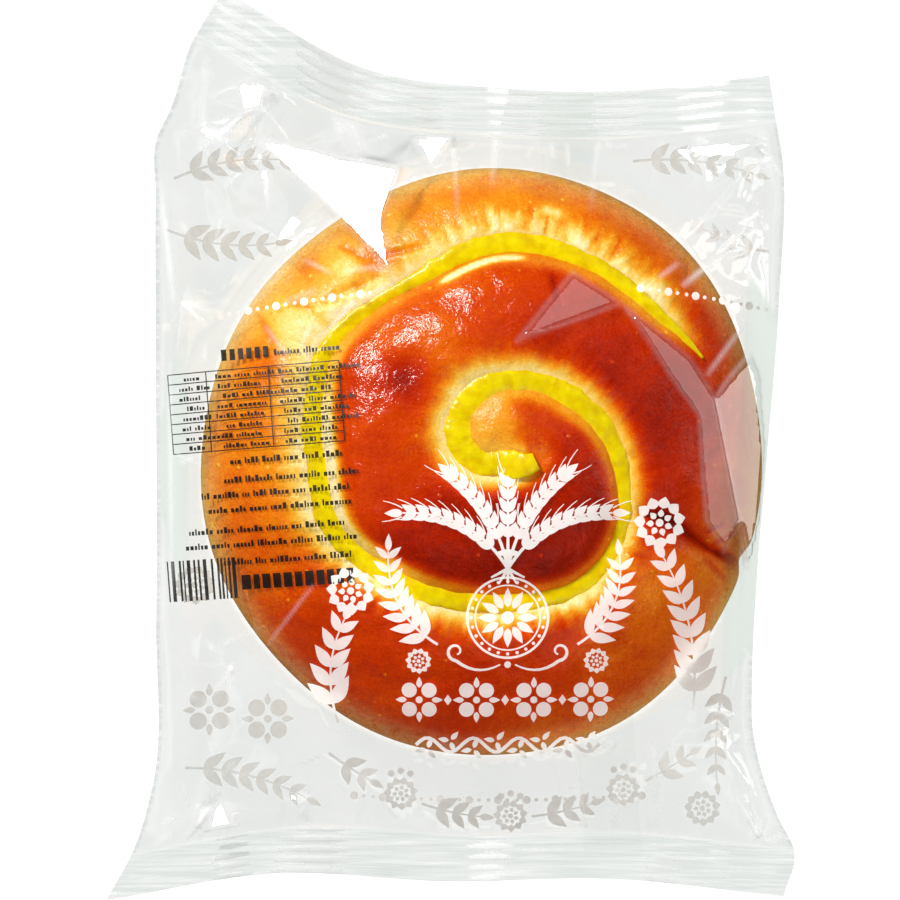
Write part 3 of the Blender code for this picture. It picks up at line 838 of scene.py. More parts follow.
# Short gathers that run out of both seals: how many, how they lean, and their length, height and
# width in mm
GATHER_COUNT, GATHER_LEAN, GATHER_SPREAD = 13, 0.25, 0.16
GATHER_LEFT, GATHER_ACROSS, GATHER_IN_SEAL = -61, 128, 1.0
GATHER_LENGTHS, GATHER_RISE, GATHER_WIDTH = (6.0, 24.0), (0.15, 0.45), (0.8, 2.4)
RUMPLE_RISE, RUMPLE_SIZE, TIGHT_RUMPLE = 0.10 * MM, 4.0 * MM, 0.25
# Fans of creases in the bag's corners and along its sides: where, towards which side, and across
# how many degrees
CREASE_FANS = (
    (-52, -78, 60, 45), (64, -80, 125, 40), (66, 60, 215, 45), (-50, 66, 290, 60), (-55, 30, 0, 50),
    (58, -55, 170, 60), (-45, -45, 250, 60),
)
FAN_CREASES, FAN_LENGTHS = 6, (4.0, 15.0)
CRINKLE_COUNT, CRINKLE_LENGTHS, CRINKLE_RISE = 60, (2.0, 9.0), (0.15, 0.45)
CRINKLE_X, CRINKLE_Y, CRINKLE_WIDTH = (-58, 64), (-82, 68), (0.5, 0.8)
CRINKLE_OFF_BUN = 2.0 * MM


def within(corners, x, y):
    """Whether each point lies inside the polygon."""
    inside = np.zeros(np.shape(x), bool)
    for (x0, y0), (x1, y1) in zip(corners, np.roll(corners, -1, axis=0)):
        crosses = (y0 > y) != (y1 > y)
        rise = y1 - y0 if y1 != y0 else 1.0
        inside ^= crosses & (x < x0 + (x1 - x0) * (y - y0) / rise)
    return inside


def flat_facet(base_tree, corners, lean, side, gap):
    """A flat facet's corners, in metres: it leans as named and just clears what is below it."""
    lean, side = math.radians(lean), math.radians(side)
    corners = np.array(corners) * MM
    fall = math.tan(lean) * np.array([math.cos(side), math.sin(side)])
    low, high = corners.min(axis=0), corners.max(axis=0)
    gx, gy = np.meshgrid(np.arange(low[0], high[0], MM), np.arange(low[1], high[1], MM))
    covered = within(corners, gx, gy)
    places = np.column_stack([gx[covered], gy[covered]])
    tops = [seen_height(base_tree, px, py, 1) + (px, py) @ fall for px, py in places]
    level = max(tops) + gap * MM
    return [(px, py, level - (px, py) @ fall) for px, py in corners]


def from_bun(x, y):
    """How far a place lies outside the bun's round outline."""
    return np.hypot(x - BUN_CENTRE[0], y - BUN_CENTRE[1]) - BUN_RADIUS


def crease_net(base_tree):
    """A net of flat facets: the named corners, the flat facets and others off the bun."""
    draw = np.random.default_rng(4)
    names = list(CREASE_POINTS)
    flat, edges = [], []
    for facet in FLAT_FACETS:
        corners = flat_facet(base_tree, *facet[:3], facet[4])
        edges += [(len(flat) + k, len(flat) + (k + 1) % len(corners)) for k in range(len(corners))]
        flat += corners
    first = len(flat)
    flat += [(px * MM, py * MM, lift * MM) for px, py, lift in CREASE_POINTS.values()]
    named = len(flat)
    for gx in np.arange(*SCATTER_X, SCATTER_PITCH):
        for gy in np.arange(*SCATTER_Y, SCATTER_PITCH):
            px, py = np.array([gx, gy]) + draw.uniform(-SCATTER_STRAY, SCATTER_STRAY, 2) * SCATTER_PITCH
            lift = draw.uniform(0, SCATTER_LIFT) ** 1.5
            off_bun = from_bun(px * MM, py * MM) > 0
            clear = min(math.hypot(px - q[0] / MM, py - q[1] / MM) for q in flat[:named])
            covered = any(within(facet[0], px, py) for facet in FLAT_FACETS)
            if off_bun and clear > SCATTER_CLEAR and not covered:
                flat.append((px * MM, py * MM, lift * MM))
    edges += [(first + names.index(a), first + names.index(b)) for a, b in CREASES]
    places, _, triangles, sources, *_ = geometry.delaunay_2d_cdt(
        [Vector(p[:2]) for p in flat], edges, [], 0, 1e-7
    )
    net = []
    for place, source in zip(places, sources):
        base = seen_height(base_tree, place.x, place.y, 1)
        base = BARE_HEIGHT if base is None else base
        if source and source[0] < first:
            net.append(Vector(flat[source[0]]))
        else:
            net.append(Vector((place.x, place.y, base + (flat[source[0]][2] if source else CROSSING_LIFT))))
    return BVHTree.FromPolygons(net, triangles)


def facet_edges(x, y):
    """How white the flat facets' edges are at each point, falling to 0 beside them; the white is partly
    painted glints.
    """
    white = np.zeros(x.shape)
    for corners, _, _, crease, _ in FLAT_FACETS:
        corners = np.array(corners) * MM
        for start, end in zip(corners, np.roll(corners, -1, axis=0)):
            _, away = beside(x, y, start, end)
            white = np.maximum(white, crease * np.clip(1 - away / FACET_EDGE_WIDTH, 0, 1))
    return white


def gathers():
    """The short folds that the sealing jaws press into the film beside both seals."""
    draw = np.random.default_rng(11)
    folds = []
    for end, ends_at in ((-1, LOWER_END), (1, UPPER_END)):
        for share in (np.arange(GATHER_COUNT) + draw.uniform(0.1, 0.9, GATHER_COUNT)) / GATHER_COUNT:
            gy = through(ends_at, share) - end * (SEAL_DEPTH / MM - GATHER_IN_SEAL)
            gx = GATHER_LEFT + GATHER_ACROSS * share
            length = draw.uniform(*GATHER_LENGTHS)
            lean = draw.normal(0, GATHER_SPREAD) + GATHER_LEAN * (0.5 - share)
            rise, width = draw.uniform(*GATHER_RISE), draw.uniform(*GATHER_WIDTH)
            folds.append((gx, gy, gx + length * lean, gy - end * length, rise, width))
    return folds


def crinkles():
    """Sharp short creases: fans of them in the corners, and others scattered over the slack film."""
    draw = np.random.default_rng(23)
    places = [
        (cx, cy, draw.normal(side, across / 2), draw.uniform(*FAN_LENGTHS))
        for cx, cy, side, across in CREASE_FANS
        for _ in range(FAN_CREASES)
    ]
    while len(places) < CRINKLE_COUNT + FAN_CREASES * len(CREASE_FANS):
        cx, cy = draw.uniform(*CRINKLE_X), draw.uniform(*CRINKLE_Y)
        if from_bun(cx * MM, cy * MM) > CRINKLE_OFF_BUN:
            places.append((cx, cy, draw.uniform(0, 360), draw.uniform(*CRINKLE_LENGTHS)))
    folds = []
    for cx, cy, side, length in places:
        dx, dy = length * math.cos(math.radians(side)), length * math.sin(math.radians(side))
        rise, width = draw.uniform(*CRINKLE_RISE), draw.uniform(*CRINKLE_WIDTH)
        folds.append((cx, cy, cx + dx, cy + dy, rise, width))
    return folds


def ridge(x, y, x0, y0, x1, y1, rise, width, one_end=False):
    """The height of a sharp straight fold, which tapers to both ends or from its first end."""
    t, away = beside(x, y, np.array((x0, y0)) * MM, np.array((x1, y1)) * MM)
    taper = (1 - t) if one_end else np.clip(4 * t * (1 - t), 0, 1) ** 0.5
    return rise * MM * taper * np.clip(1 - away / (width * MM), 0, 1)


def as_points(x, y, z):
    """A grid's places as a list of points, row by row."""
    return np.stack([x, y, z], axis=2).reshape(-1, 3)


def grid_tree(x, y, z):
    """A grid of points as a surface that rays can meet."""
    return BVHTree.FromPolygons(as_points(x, y, z).tolist(), grid_faces(*x.shape).tolist())


def over_grid(tree, x, y, fallback):
    """The height of a surface over a grid, or the fallback's height where it has none."""
    heights = np.array(
        [seen_height(tree, px, py, 1) or np.nan for px, py in zip(x.ravel(), y.ravel())]
    ).reshape(x.shape)
    return np.where(np.isnan(heights), fallback, heights)


def draped(bun, over):
    """The film's height where it is drawn tight over the bun, and bridges its groove."""
    on_bun = bun > 0
    least = np.where(on_bun, bun + FILM_CLEARANCE, over)
    height = least
    for _ in range(DRAPE_STEPS):
        height = np.where(on_bun, np.maximum(least, softened(height, 1)), over)
    return height


def pressed_beside_bun(x, y, share):
    """Where the film's two sides are pressed together, between the bun and the bag's side."""
    near_side = np.minimum(share, 1 - share)[None, :] < PRESSED_SHARE
    return near_side & (from_bun(x, y) < PRESSED_REACH)


def flat_shares(x, y):
    """Where the flat facets lie on the film's grid, and their shares with softer edges."""
    flats = np.any([within(np.array(facet[0]) * MM, x, y) for facet in FLAT_FACETS], axis=0)
    return flats, softened(flats.astype(float), 1), softened(flats.astype(float), 8)


def bag_form(x, y, seal, share):
    """The bag's smooth upper and lower side, its middle, where it is sealed and the crimp's lift there."""
    over, under = (
        softened(filled(solid_heights(x, y, share, side)), FORM_SOFTENING) for side in (1, -1)
    )
    bite = eased(np.maximum(seal, 0)[:, None] / MM)
    middle = (over + under) / 2
    middle = middle + (softened(middle, SEAL_EVENING_STEPS) - middle) * bite
    ribs = np.sin(2 * math.pi * seal / CRIMP_PITCH)
    ribs = ribs + FINE_RIB_SHARE * np.sin(6 * math.pi * seal / CRIMP_PITCH)
    along = as_points(x, SEAL_WAVE_STRETCH * y, 0 * x)
    waves = ruffle(along, SEAL_WAVE_SIZE, 2, 8.0).reshape(x.shape)
    return over, under, middle, bite, CRIMP_RISE * ribs[:, None] * bite + SEAL_WAVE_RISE * bite * waves


def shut(height, middle, crimp, seal, share, side):
    """The film's height with both sides brought together in the seals and at the side folds."""
    height = np.where((seal > 0)[:, None], middle + side * LAYER_GAP / 2 + crimp, height)
    near_fold = np.clip(np.minimum(share, 1 - share) / FOLD_REACH, 0, 1)[None, :]
    return middle + (height - middle) * np.sin(near_fold * math.pi / 2)


def faceted(x, y, body, share, over, flats):
    """The smooth form drawn up into the net of facets, except near the seals and the side folds."""
    facets = softened(over_grid(crease_net(grid_tree(x, y, over)), x, y, over), 1)
    near_fold = np.clip(np.minimum(share, 1 - share) / FOLD_REACH, 0, 1)[None, :]
    inner = eased(np.minimum(body, 1 - body) / FACET_END_REACH)[:, None]
    shown = np.maximum(inner * eased(near_fold / FACET_FOLD_SHARE), flats)
    return over + np.maximum(facets - over, 0) * shown


def front_heights(x, y, body, seal, share):
    """Z of the front film over its grid, and how white and how closely drawn to the bun it is."""
    over, _, middle, bite, crimp = bag_form(x, y, seal, share)
    flats, flat_share, wide_share = flat_shares(x, y)
    front = faceted(x, y, body, share, over, flats)
    bun = over_grid(dough_tree, x, y, np.full(x.shape, -1.0))
    off_bun = eased(from_bun(x, y) / OFF_BUN_FADE)
    drape = draped(bun, over)
    tight = (1 - off_bun) * (1 - np.clip(2 * wide_share, 0, 1))
    front += (drape + DRAPE_SLACK * (front - drape) - front) * tight

    loose = eased(np.minimum(body, 1 - body) / LOOSE_END_REACH)[:, None] * (1 - flat_share)
    rumple = ruffle(as_points(x, y, 0 * x), RUMPLE_SIZE, 3, 2.0).reshape(x.shape)
    front += RUMPLE_RISE * (TIGHT_RUMPLE + (1 - TIGHT_RUMPLE) * off_bun) * rumple * loose
    folds = sum(ridge(x, y, *fold) for fold in FINE_CREASES)
    folds = folds + sum(ridge(x, y, *fold, one_end=True) for fold in gathers() + crinkles())
    front = np.maximum(front + folds * loose, bun + FILM_CLEARANCE)
    # Folds, facet edges and crimp tops are drawn white: partly stress-whitening, partly painted glints
    white_and_glint = np.clip(folds * loose / WHITE_FROM_RISE + facet_edges(x, y), 0, 1)
    white_and_glint = np.maximum(white_and_glint, SEAL_WHITE_AND_GLINT_SHARE * bite * np.clip(crimp / CRIMP_RISE, 0, 1) ** 4)

    clinging = softened(((bun > 0) & ~flats).astype(float), 1)
    beside_bun = softened((pressed_beside_bun(x, y, share) & ~flats).astype(float), 4)
    clinging = np.where((seal > 0)[:, None], SEAL_DULLING, np.maximum(clinging, beside_bun))
    closed = shut(front, middle, crimp, seal, share, 1)
    closed += (front - closed) * flat_share
    return np.maximum(closed, bun + FILM_CLEARANCE), white_and_glint, clinging


def back_heights(x, y, _, seal, share):
    """Z of the back film over its grid."""
    _, under, middle, _, crimp = bag_form(x, y, seal, share)
    return shut(under, middle, crimp, seal, share, -1)


def film_sheet(x, y, z, facing):
    """The points and faces of one side of the bag, facing up (1) or down (-1)."""
    return as_points(x, y, z), grid_faces(*x.shape)[:, ::-facing].tolist()


# The share of the light that the film mirrors, its shades from clear to cloudy, and its whitening (partly
# painted glints)
FILM_SHINE, WHITE_AND_GLINT_SHARE = 0.16, 0.55
FILM_SHADES = ((0.0, (252, 253, 252)), (1.0, (233, 237, 234)))
GLOSS_TINT, CREASE_WHITE = (0.95, 0.96, 0.96, 1), (0.95, 0.95, 0.95, 1)
SEAL_GRAIN, CLOUD_SCALE, CLOUD_SHADE = (45.0, 1100.0, 0.0), 55.0, 0.20
EDGE_COLUMNS = 2


def mixed(tree, share, first, second):
    """Two shaders mixed, with the given share of the second."""
    return added(tree, "ShaderNodeMixShader", {"Fac": share, 1: first, 2: second})


def film_material():
    """Clear film: it lets light through a little dimmed, mirrors some, and whitens in creases."""
    material, tree, surface = new_material("clear film")

    # The jaws press fine uneven ribs along the seals, drawn as grey and white streaks, the white partly
    # painted glare, and the rest of it is faintly cloudy, most where its two sides are pressed together
    place = added(tree, "ShaderNodeTexCoord", {}, "Object")
    along = added(tree, "ShaderNodeMapping", {"Vector": place, "Scale": SEAL_GRAIN})
    ribs = added(tree, "ShaderNodeTexNoise", {"Vector": along, "Scale": 1.0}, "Fac")
    sealed = read_value(tree, "sealed")
    rib = reckoned(tree, "MULTIPLY_ADD", ribs, 3.0, -1.0)
    dim = reckoned(tree, "MULTIPLY_ADD", rib, sealed, grain(tree, CLOUD_SCALE, 0.0, CLOUD_SHADE))
    dim = reckoned(tree, "ADD", dim, read_value(tree, "pressed"))
    clear = added(tree, "ShaderNodeBsdfTransparent", {"Color": ramp_of(tree, dim, FILM_SHADES)})

    # Its gloss mirrors more at a slant. Where it clings to the glazed crust, the crust's own shine
    # is the one that is seen
    mirror = {"Base Color": GLOSS_TINT, "Metallic": 1.0, "Roughness": 0.06}
    gloss = added(tree, "ShaderNodeBsdfPrincipled", mirror)
    slant = added(tree, "ShaderNodeLayerWeight", {"Blend": 0.5}, "Facing")
    steep = reckoned(tree, "POWER", slant, 5.0)
    share = reckoned(tree, "MULTIPLY_ADD", steep, 1.0 - FILM_SHINE, FILM_SHINE)
    apart = reckoned(tree, "SUBTRACT", 1.0, read_value(tree, "clinging"))
    glossy = mixed(tree, reckoned(tree, "MULTIPLY", share, apart), clear, gloss)

    # Where the film is creased hard it turns white; that white is partly painted glints
    white = added(tree, "ShaderNodeBsdfPrincipled", {"Base Color": CREASE_WHITE, "Roughness": 0.4})
    # Bright streaks along the seal ribs: partly the crimped film's white, partly painted glare
    rib_white_and_glare = reckoned(tree, "MULTIPLY_ADD", rib, -1.6, 0.3)
    rib_white_and_glare = reckoned(tree, "MULTIPLY", rib_white_and_glare, sealed)
    white_glint_share = reckoned(tree, "MAXIMUM", read_value(tree, "white_and_glint"), rib_white_and_glare)
    white_glint_share = reckoned(tree, "MULTIPLY", white_glint_share, WHITE_AND_GLINT_SHARE)
    tree.links.new(mixed(tree, white_glint_share, glossy, white), surface)
    return material


clear_film = film_material()
front_plan, back_plan = film_plan(FRONT_COLUMNS), film_plan(BACK_COLUMNS)
front_z, front_white_and_glint, front_clinging = front_heights(*front_plan)
front_sealed = np.repeat(eased(front_plan[3] / MM)[:, None], FRONT_COLUMNS + 1, axis=1)
# The outer columns at the side folds get the seals' streaks as well, partly painted glare
front_sealed[:, :EDGE_COLUMNS] = front_sealed[:, -EDGE_COLUMNS:] = 1.0
front_pressed, back_pressed = (
    softened(pressed_beside_bun(x, y, share).astype(float), 2)
    for x, y, _, _, share in (front_plan, back_plan)
)
front_film = new_piece("front_film", *film_sheet(*front_plan[:2], front_z, 1), clear_film)
# How white each point is drawn, partly as painted glints
add_values(front_film, "white_and_glint", front_white_and_glint.ravel())
add_values(front_film, "clinging", front_clinging.ravel())
add_values(front_film, "sealed", front_sealed.ravel())
add_values(front_film, "pressed", front_pressed.ravel())
back_film = new_piece("back_film", *film_sheet(*back_plan[:2], back_heights(*back_plan), -1), clear_film)
add_values(back_film, "clinging", np.maximum(back_pressed, BACK_DULLING).ravel())
add_values(back_film, "pressed", back_pressed.ravel())

# The back seam: where the sheet's two long edges meet they are sealed together, inside to inside,
# as a ribbed fin, which is folded flat against the bag's back.
SEAM_ENDS = ((24.0, 74.0), (34.0, -84.0))
SEAM_WIDTH, SEAM_GAP = 12.0 * MM, 0.08 * MM
SEAM_ROWS, SEAM_COLUMNS = 320, 24
SEAM_RIB_PITCH, SEAM_RIB_RISE = 1.5 * MM, 0.03 * MM


def seam_mesh():
    """The fin's strip of points, laid just below the back film, and its faces."""
    (x0, y0), (x1, y1) = np.array(SEAM_ENDS) * MM
    along, across = np.linspace(0, 1, SEAM_ROWS + 1), np.linspace(-0.5, 0.5, SEAM_COLUMNS + 1)
    t, u = np.meshgrid(along, across * SEAM_WIDTH, indexing="ij")
    x, y = x0 + (x1 - x0) * t + u, y0 + (y1 - y0) * t
    z = [seen_height(back_tree, px, py, -1) for px, py in zip(x.ravel(), y.ravel())]
    z = np.array(z).reshape(x.shape) - SEAM_GAP
    z -= SEAM_RIB_RISE * (1 + np.sin(2 * math.pi * u / SEAM_RIB_PITCH))
    return as_points(x, y, z), grid_faces(*x.shape).tolist()


back_tree = BVHTree.FromObject(back_film, bpy.context.evaluated_depsgraph_get())
back_seam = new_piece("back_seam", *seam_mesh(), clear_film)
add_values(back_seam, "clinging", np.ones(len(back_seam.data.vertices)))

# The white print: ink laid on the film's inner side before the bag was made, and seen through its
# gloss. It is a sheaf of wheat over a round medallion, with sprigs, blossoms and beads round them.
INK_DEPTH = 0.12 * MM
INK_GRAIN, INK_COVER_GRAIN = 700.0, 1500.0
# How far apart points lie inside a printed shape and along a drawn line, in mm, and its middle line
PRINT_LATTICE, LINE_PITCH, PRINT_MIDDLE = 1.2, 1.2, 11.7


def moved(outline, x, y, degrees=0.0):
    """An outline in mm, turned and put in its place."""
    a = math.radians(degrees)
    turn = np.array([[math.cos(a), math.sin(a)], [-math.sin(a), math.cos(a)]])
    return np.asarray(outline) @ turn + (x, y)


def reached(x, y, distance, degrees):
    """The point at a distance from another, in the direction given in degrees."""
    a = math.radians(degrees)
    return np.array((x + distance * math.cos(a), y + distance * math.sin(a)))


def leaf(length, width, fullest=0.75):
    """A pointed leaf that starts at its stalk."""
    t = np.linspace(0, 1, 9)
    half = 0.5 * width * np.sin(math.pi * t**fullest)
    upper = np.column_stack([length * t, half])
    return np.concatenate([upper, (upper * (1, -1))[-2:0:-1]])


def dot(radius, sides=14):
    """A round spot about the origin."""
    turn = np.arange(sides) * 2 * math.pi / sides
    return radius * np.column_stack([np.cos(turn), np.sin(turn)])


def arc(x, y, radius, start, end, points=26):
    """Points along an arc about a place, between two directions in degrees."""
    turn = np.radians(np.linspace(start, end, points))
    return np.column_stack([x + radius * np.cos(turn), y + radius * np.sin(turn)])


def bowed(start, end, bow, pitch=LINE_PITCH):
    """Points from start to end, on a line that bows out to its left."""
    start, end = np.array(start, float), np.array(end, float)
    run = end - start
    t = np.linspace(0, 1, max(int(np.hypot(*run) / pitch), 3) + 1)[:, None]
    left = np.array([-run[1], run[0]]) / np.hypot(*run)
    return start + run * t + 4 * bow * t * (1 - t) * left


def headings(line):
    """The line's direction at each of its points, in degrees."""
    run = np.gradient(np.asarray(line, float), axis=0)
    return np.degrees(np.arctan2(run[:, 1], run[:, 0]))


def stroke(line, width, end_width=None):
    """The outline of a pen stroke along a line, as wide as named at its start and at its end."""
    line = np.asarray(line, float)
    turn = np.radians(headings(line) + 90)
    across = np.column_stack([np.cos(turn), np.sin(turn)])
    half = np.linspace(width, width if end_width is None else end_width, len(line))[:, None] / 2
    return np.concatenate([line + across * half, (line - across * half)[::-1]])


def ring(x, y, radius, width):
    """A drawn circle, as two strokes that just overlap."""
    return [stroke(arc(x, y, radius, start, start + 182), width) for start in (0, 180)]


def petals(x, y, inner, outer, width, count, first=0.0):
    """An even circle of petals, between two radii about a place."""
    return [
        moved(leaf(outer - inner, width), *reached(x, y, inner, degrees), degrees)
        for degrees in first + 360 * np.arange(count) / count
    ]


def daisy(x, y, radius):
    """An eye with a short and a long circle of petals round it."""
    shapes = [moved(dot(0.15 * radius), x, y)]
    shapes += petals(x, y, 0.22 * radius, 0.52 * radius, 0.24 * radius, 7, 30)
    return shapes + petals(x, y, 0.55 * radius, radius, 0.46 * radius, 11, 12)


def blossom(x, y, radius, first=45.0):
    """Four round petals about a dot, with a bud between each two."""
    shapes = [moved(dot(0.16 * radius), x, y)]
    for degrees in first + 90 * np.arange(4):
        shapes.append(moved(dot(0.34 * radius, 18), *reached(x, y, 0.62 * radius, degrees)))
    return shapes + petals(x, y, 0.55 * radius, 1.05 * radius, 0.26 * radius, 4, first + 45)


def sprig(line, length, width, pitch, lean=40.0):
    """A stem with pairs of leaves that grow smaller towards its tip."""
    line = np.asarray(line, float)
    shapes = [stroke(line, 0.55, 0.3)]
    heading = headings(line)
    step = max(int(round(pitch / np.linalg.norm(line[1] - line[0]))), 1)
    for k in range(step, len(line) - 1, step):
        size = 1 - 0.45 * k / len(line)
        for side in (1, -1):
            shapes.append(moved(leaf(length * size, width * size), *line[k], heading[k] + side * lean))
    shapes.append(moved(leaf(0.6 * length, 0.6 * width), *line[-1], heading[-1]))
    return shapes


def wheat_ear(line, stalk):
    """A stalk that ends in pairs of grains, each with its awn."""
    line, heading = np.asarray(line, float), headings(line)
    pitch = np.linalg.norm(line[1] - line[0])
    shapes = [stroke(line, 0.7, 0.35)]
    for k in range(int(stalk / pitch), len(line) - 1, 2):
        for side in (1, -1):
            shapes.append(moved(leaf(3.5, 1.6), *line[k], heading[k] + 27 * side))
            spread = heading[k] + 17 * side
            tip = reached(*line[k], 3.0, spread)
            shapes.append(stroke(bowed(tip, reached(*tip, 4.2, spread), 0.2 * side), 0.28, 0.14))
    return [*shapes, moved(leaf(3.8, 1.7), *line[-1], heading[-1])]


BEAD_PITCH, BEAD_RADII = 1.9, (0.85, 0.4, 0.4)


def beads(line):
    """A row of beads, by turns a large one and two small ones."""
    return [moved(dot(BEAD_RADII[k % 3]), *place) for k, place in enumerate(line)]


def medallion(x, y):
    """A flower in two rings, with a row of dots between them."""
    shapes = ring(x, y, 8.2, 0.5) + ring(x, y, 6.6, 0.32) + [moved(dot(1.3), x, y)]
    shapes += petals(x, y, 2.1, 6.1, 1.7, 12)
    return shapes + [moved(dot(0.36, 8), *place) for place in arc(x, y, 7.4, 0, 345, 24)]


def scrolls(x, y):
    """Two mirrored scrolls, each a long wave that curls at its end."""
    shapes = [moved(dot(0.7), x, y)]
    turn, size = np.radians(np.linspace(-90, 250, 22)), np.linspace(1.9, 0.6, 22)
    for side in (1, -1):
        wave = bowed((x + 1.5 * side, y), (x + 10.5 * side, y + 0.8), -1.5 * side)
        across, up = x + side * (10.5 + size * np.cos(turn)), y + 2.7 + size * np.sin(turn)
        shapes += [stroke(wave, 0.35, 0.7), stroke(np.column_stack([across, up]), 0.7, 0.35)]
    return shapes


def flourish(x0, x1, y):
    """A long even wave with a bud in each of its bends."""
    wave = 9.4
    x = np.arange(x0, x1, 0.9)
    line = np.column_stack([x, y + 1.5 * np.sin((x - x0) * 2 * math.pi / wave)])
    shapes = [stroke(line, 0.75)]
    for k, bend in enumerate(np.arange(x0 + wave / 4, x1, wave / 2)):
        side = 1 if k % 2 else -1
        shapes += petals(bend, y + 0.9 * side, 0.3, 2.6, 1.1, 3, 50.0 if side > 0 else 190.0)
    return shapes


def swag(left, low, right):
    """A hanging garland: a bowed stem with leaves, daisies and berries."""
    t = np.linspace(0, 1, 70)[:, None]
    left, low, right = (np.array(p) for p in (left, low, right))
    line = (1 - t) ** 2 * left + 2 * t * (1 - t) * (2 * low - (left + right) / 2) + t**2 * right
    shapes = []
    for first, last in ((0, 9), (18, 30), (39, 51), (60, 69)):
        shapes += sprig(line[first:last], 5.6, 2.5, 3.3, 44)
    for at in (14, 35, 56):
        shapes += daisy(*line[at] + (0, 0.4), 3.6)
        shapes += [moved(dot(0.7), *line[at] + (dx, 5.3 - 0.3 * abs(dx))) for dx in (-2.0, 0.0, 2.0)]
    return shapes


def print_mesh(motifs, tree, side, offset):
    """The inked shapes' points and triangles, laid along the film that a ray from one side meets."""
    points, triangles = [], []
    for shapes in motifs:
        corners, faces = [], []
        for outline in shapes:
            ahead = np.roll(outline, -1, axis=0)
            area = np.sum(outline[:, 0] * ahead[:, 1] - outline[:, 1] * ahead[:, 0])
            outline = outline if area > 0 else outline[::-1]
            faces.append(list(range(len(corners), len(corners) + len(outline))))
            corners += outline.tolist()
        low, high = np.min(corners, axis=0), np.max(corners, axis=0)
        gx, gy = np.meshgrid(*[np.arange(low[k], high[k], PRINT_LATTICE) for k in (0, 1)])
        covered = np.any([within(outline, gx, gy) for outline in shapes], axis=0)
        inner = np.column_stack([gx[covered], gy[covered]]).tolist()
        made = geometry.delaunay_2d_cdt([Vector(p) for p in corners + inner], [], faces, 1, 1e-5)
        first = len(points)
        for place in made[0]:
            height = seen_height(tree, place.x * MM, place.y * MM, side)
            points.append((place.x * MM, place.y * MM, (height or 0.0) + offset))
        triangles += [tuple(first + k for k in t) for t, inked in zip(made[2], made[5]) if inked]
    used = sorted({k for triangle in triangles for k in triangle})
    place_of = {k: i for i, k in enumerate(used)}
    return [points[k] for k in used], [tuple(place_of[k] for k in t) for t in triangles]


def ink_material(name, shades, cover, shade, glow=None):
    """Ink that lies a little unevenly, casts a thin shade, and if it is pale glows from behind."""
    material, tree, surface = new_material(name)
    for_shadow = added(tree, "ShaderNodeLightPath", {}, "Is Shadow Ray")
    held = reckoned(tree, "MULTIPLY_ADD", for_shadow, shade - 1.0, 1.0)
    layer = {
        "Base Color": ramp_of(tree, grain(tree, INK_GRAIN), shades),
        "Roughness": 0.5,
        "Alpha": reckoned(tree, "MULTIPLY", grain(tree, INK_COVER_GRAIN, *cover), held),
    }
    result = added(tree, "ShaderNodeBsdfPrincipled", layer)
    if glow:
        behind = added(tree, "ShaderNodeBsdfTranslucent", {"Color": colour(*glow)})
        result = added(tree, "ShaderNodeAddShader", {0: result, 1: behind})
    tree.links.new(result, surface)
    return material


SHEAF_FOOT = np.array((PRINT_MIDDLE, -24.0))
# Its ears: direction in degrees, length and bow in mm
SHEAF = ((152, 24, -3.5), (121, 22, -2.0), (90, 19, 0.0), (59, 22, 2.0), (28, 24, 3.5))


def sheaf():
    """Ears of wheat that spread out from one foot, where their cut stalks cross."""
    shapes = [moved(leaf(5.4, 1.5, 1.0), *SHEAF_FOOT + (-2.7, 3.2))]
    for degrees, length, bow in SHEAF:
        ear = reached(*SHEAF_FOOT, length, degrees)
        cut_end = reached(*SHEAF_FOOT, -0.16 * length, degrees)
        shapes += wheat_ear(bowed(SHEAF_FOOT, ear, bow), 6.5)
        shapes.append(stroke(bowed(SHEAF_FOOT, cut_end, 0.0), 0.7, 0.4))
    return shapes


def lozenge(x, y, size):
    """A small upright diamond."""
    return np.array([(x - size, y), (x, y - 1.4 * size), (x + size, y), (x, y + 1.4 * size)])


BLOSSOM_ROW, BLOSSOM_LINE = (-6.3, 5.4, 17.1, 28.8), -51.0
white_motifs = [
    sheaf(),
    medallion(PRINT_MIDDLE, -34.0),
    scrolls(PRINT_MIDDLE, -43.6),
    sprig(bowed((-23.0, -56.0), (-21.5, -34.5), 2.2), 7.4, 3.2, 3.6) + daisy(-20.2, -28.6, 5.0),
    sprig(bowed((50.0, -53.5), (43.5, -22.0), -2.6), 7.4, 3.2, 3.6) + daisy(42.6, -14.8, 5.4),
    sprig(bowed((-2.5, -39.5), (-12.5, -20.5), 3.2), 6.0, 2.3, 3.0, 48) + daisy(-6.4, -42.9, 2.7),
    sprig(bowed((25.9, -39.5), (34.4, -21.5), -3.2), 6.0, 2.3, 3.0, 48) + daisy(29.8, -42.9, 2.7),
    sprig(bowed((66.0, 41.0), (51.0, 46.0), 1.0), 4.6, 1.7, 3.6),
    [shape for x in BLOSSOM_ROW for shape in blossom(x, BLOSSOM_LINE, 4.6)]
    + [lozenge((a + b) / 2, BLOSSOM_LINE, 0.8) for a, b in zip(BLOSSOM_ROW, BLOSSOM_ROW[1:])],
    flourish(-7.0, 31.0, -60.6),
    swag((-25.0, -62.5), (12.0, -76.3), (50.5, -62.0)),
    beads(bowed((-58.6, 25.4), (-16.3, 32.0), 0.5, BEAD_PITCH))
    + beads(bowed((38.9, 33.0), (65.5, 29.0), 0.3, BEAD_PITCH)),
]
front_tree = BVHTree.FromObject(front_film, bpy.context.evaluated_depsgraph_get())
WHITE_INK = ((0.0, (238, 236, 234)), (1.0, (248, 247, 245)))
INK_GLOW = (134, 126, 120)
# The share of the film that the ink covers, from its thinnest to its fullest, and its shadow's depth
WHITE_COVER, WHITE_SHADE = (0.90, 1.0), 0.4
white_ink = ink_material("white ink", WHITE_INK, WHITE_COVER, WHITE_SHADE, INK_GLOW)
white_print = new_piece("white_print", *print_mesh(white_motifs, front_tree, 1, -INK_DEPTH), white_ink)
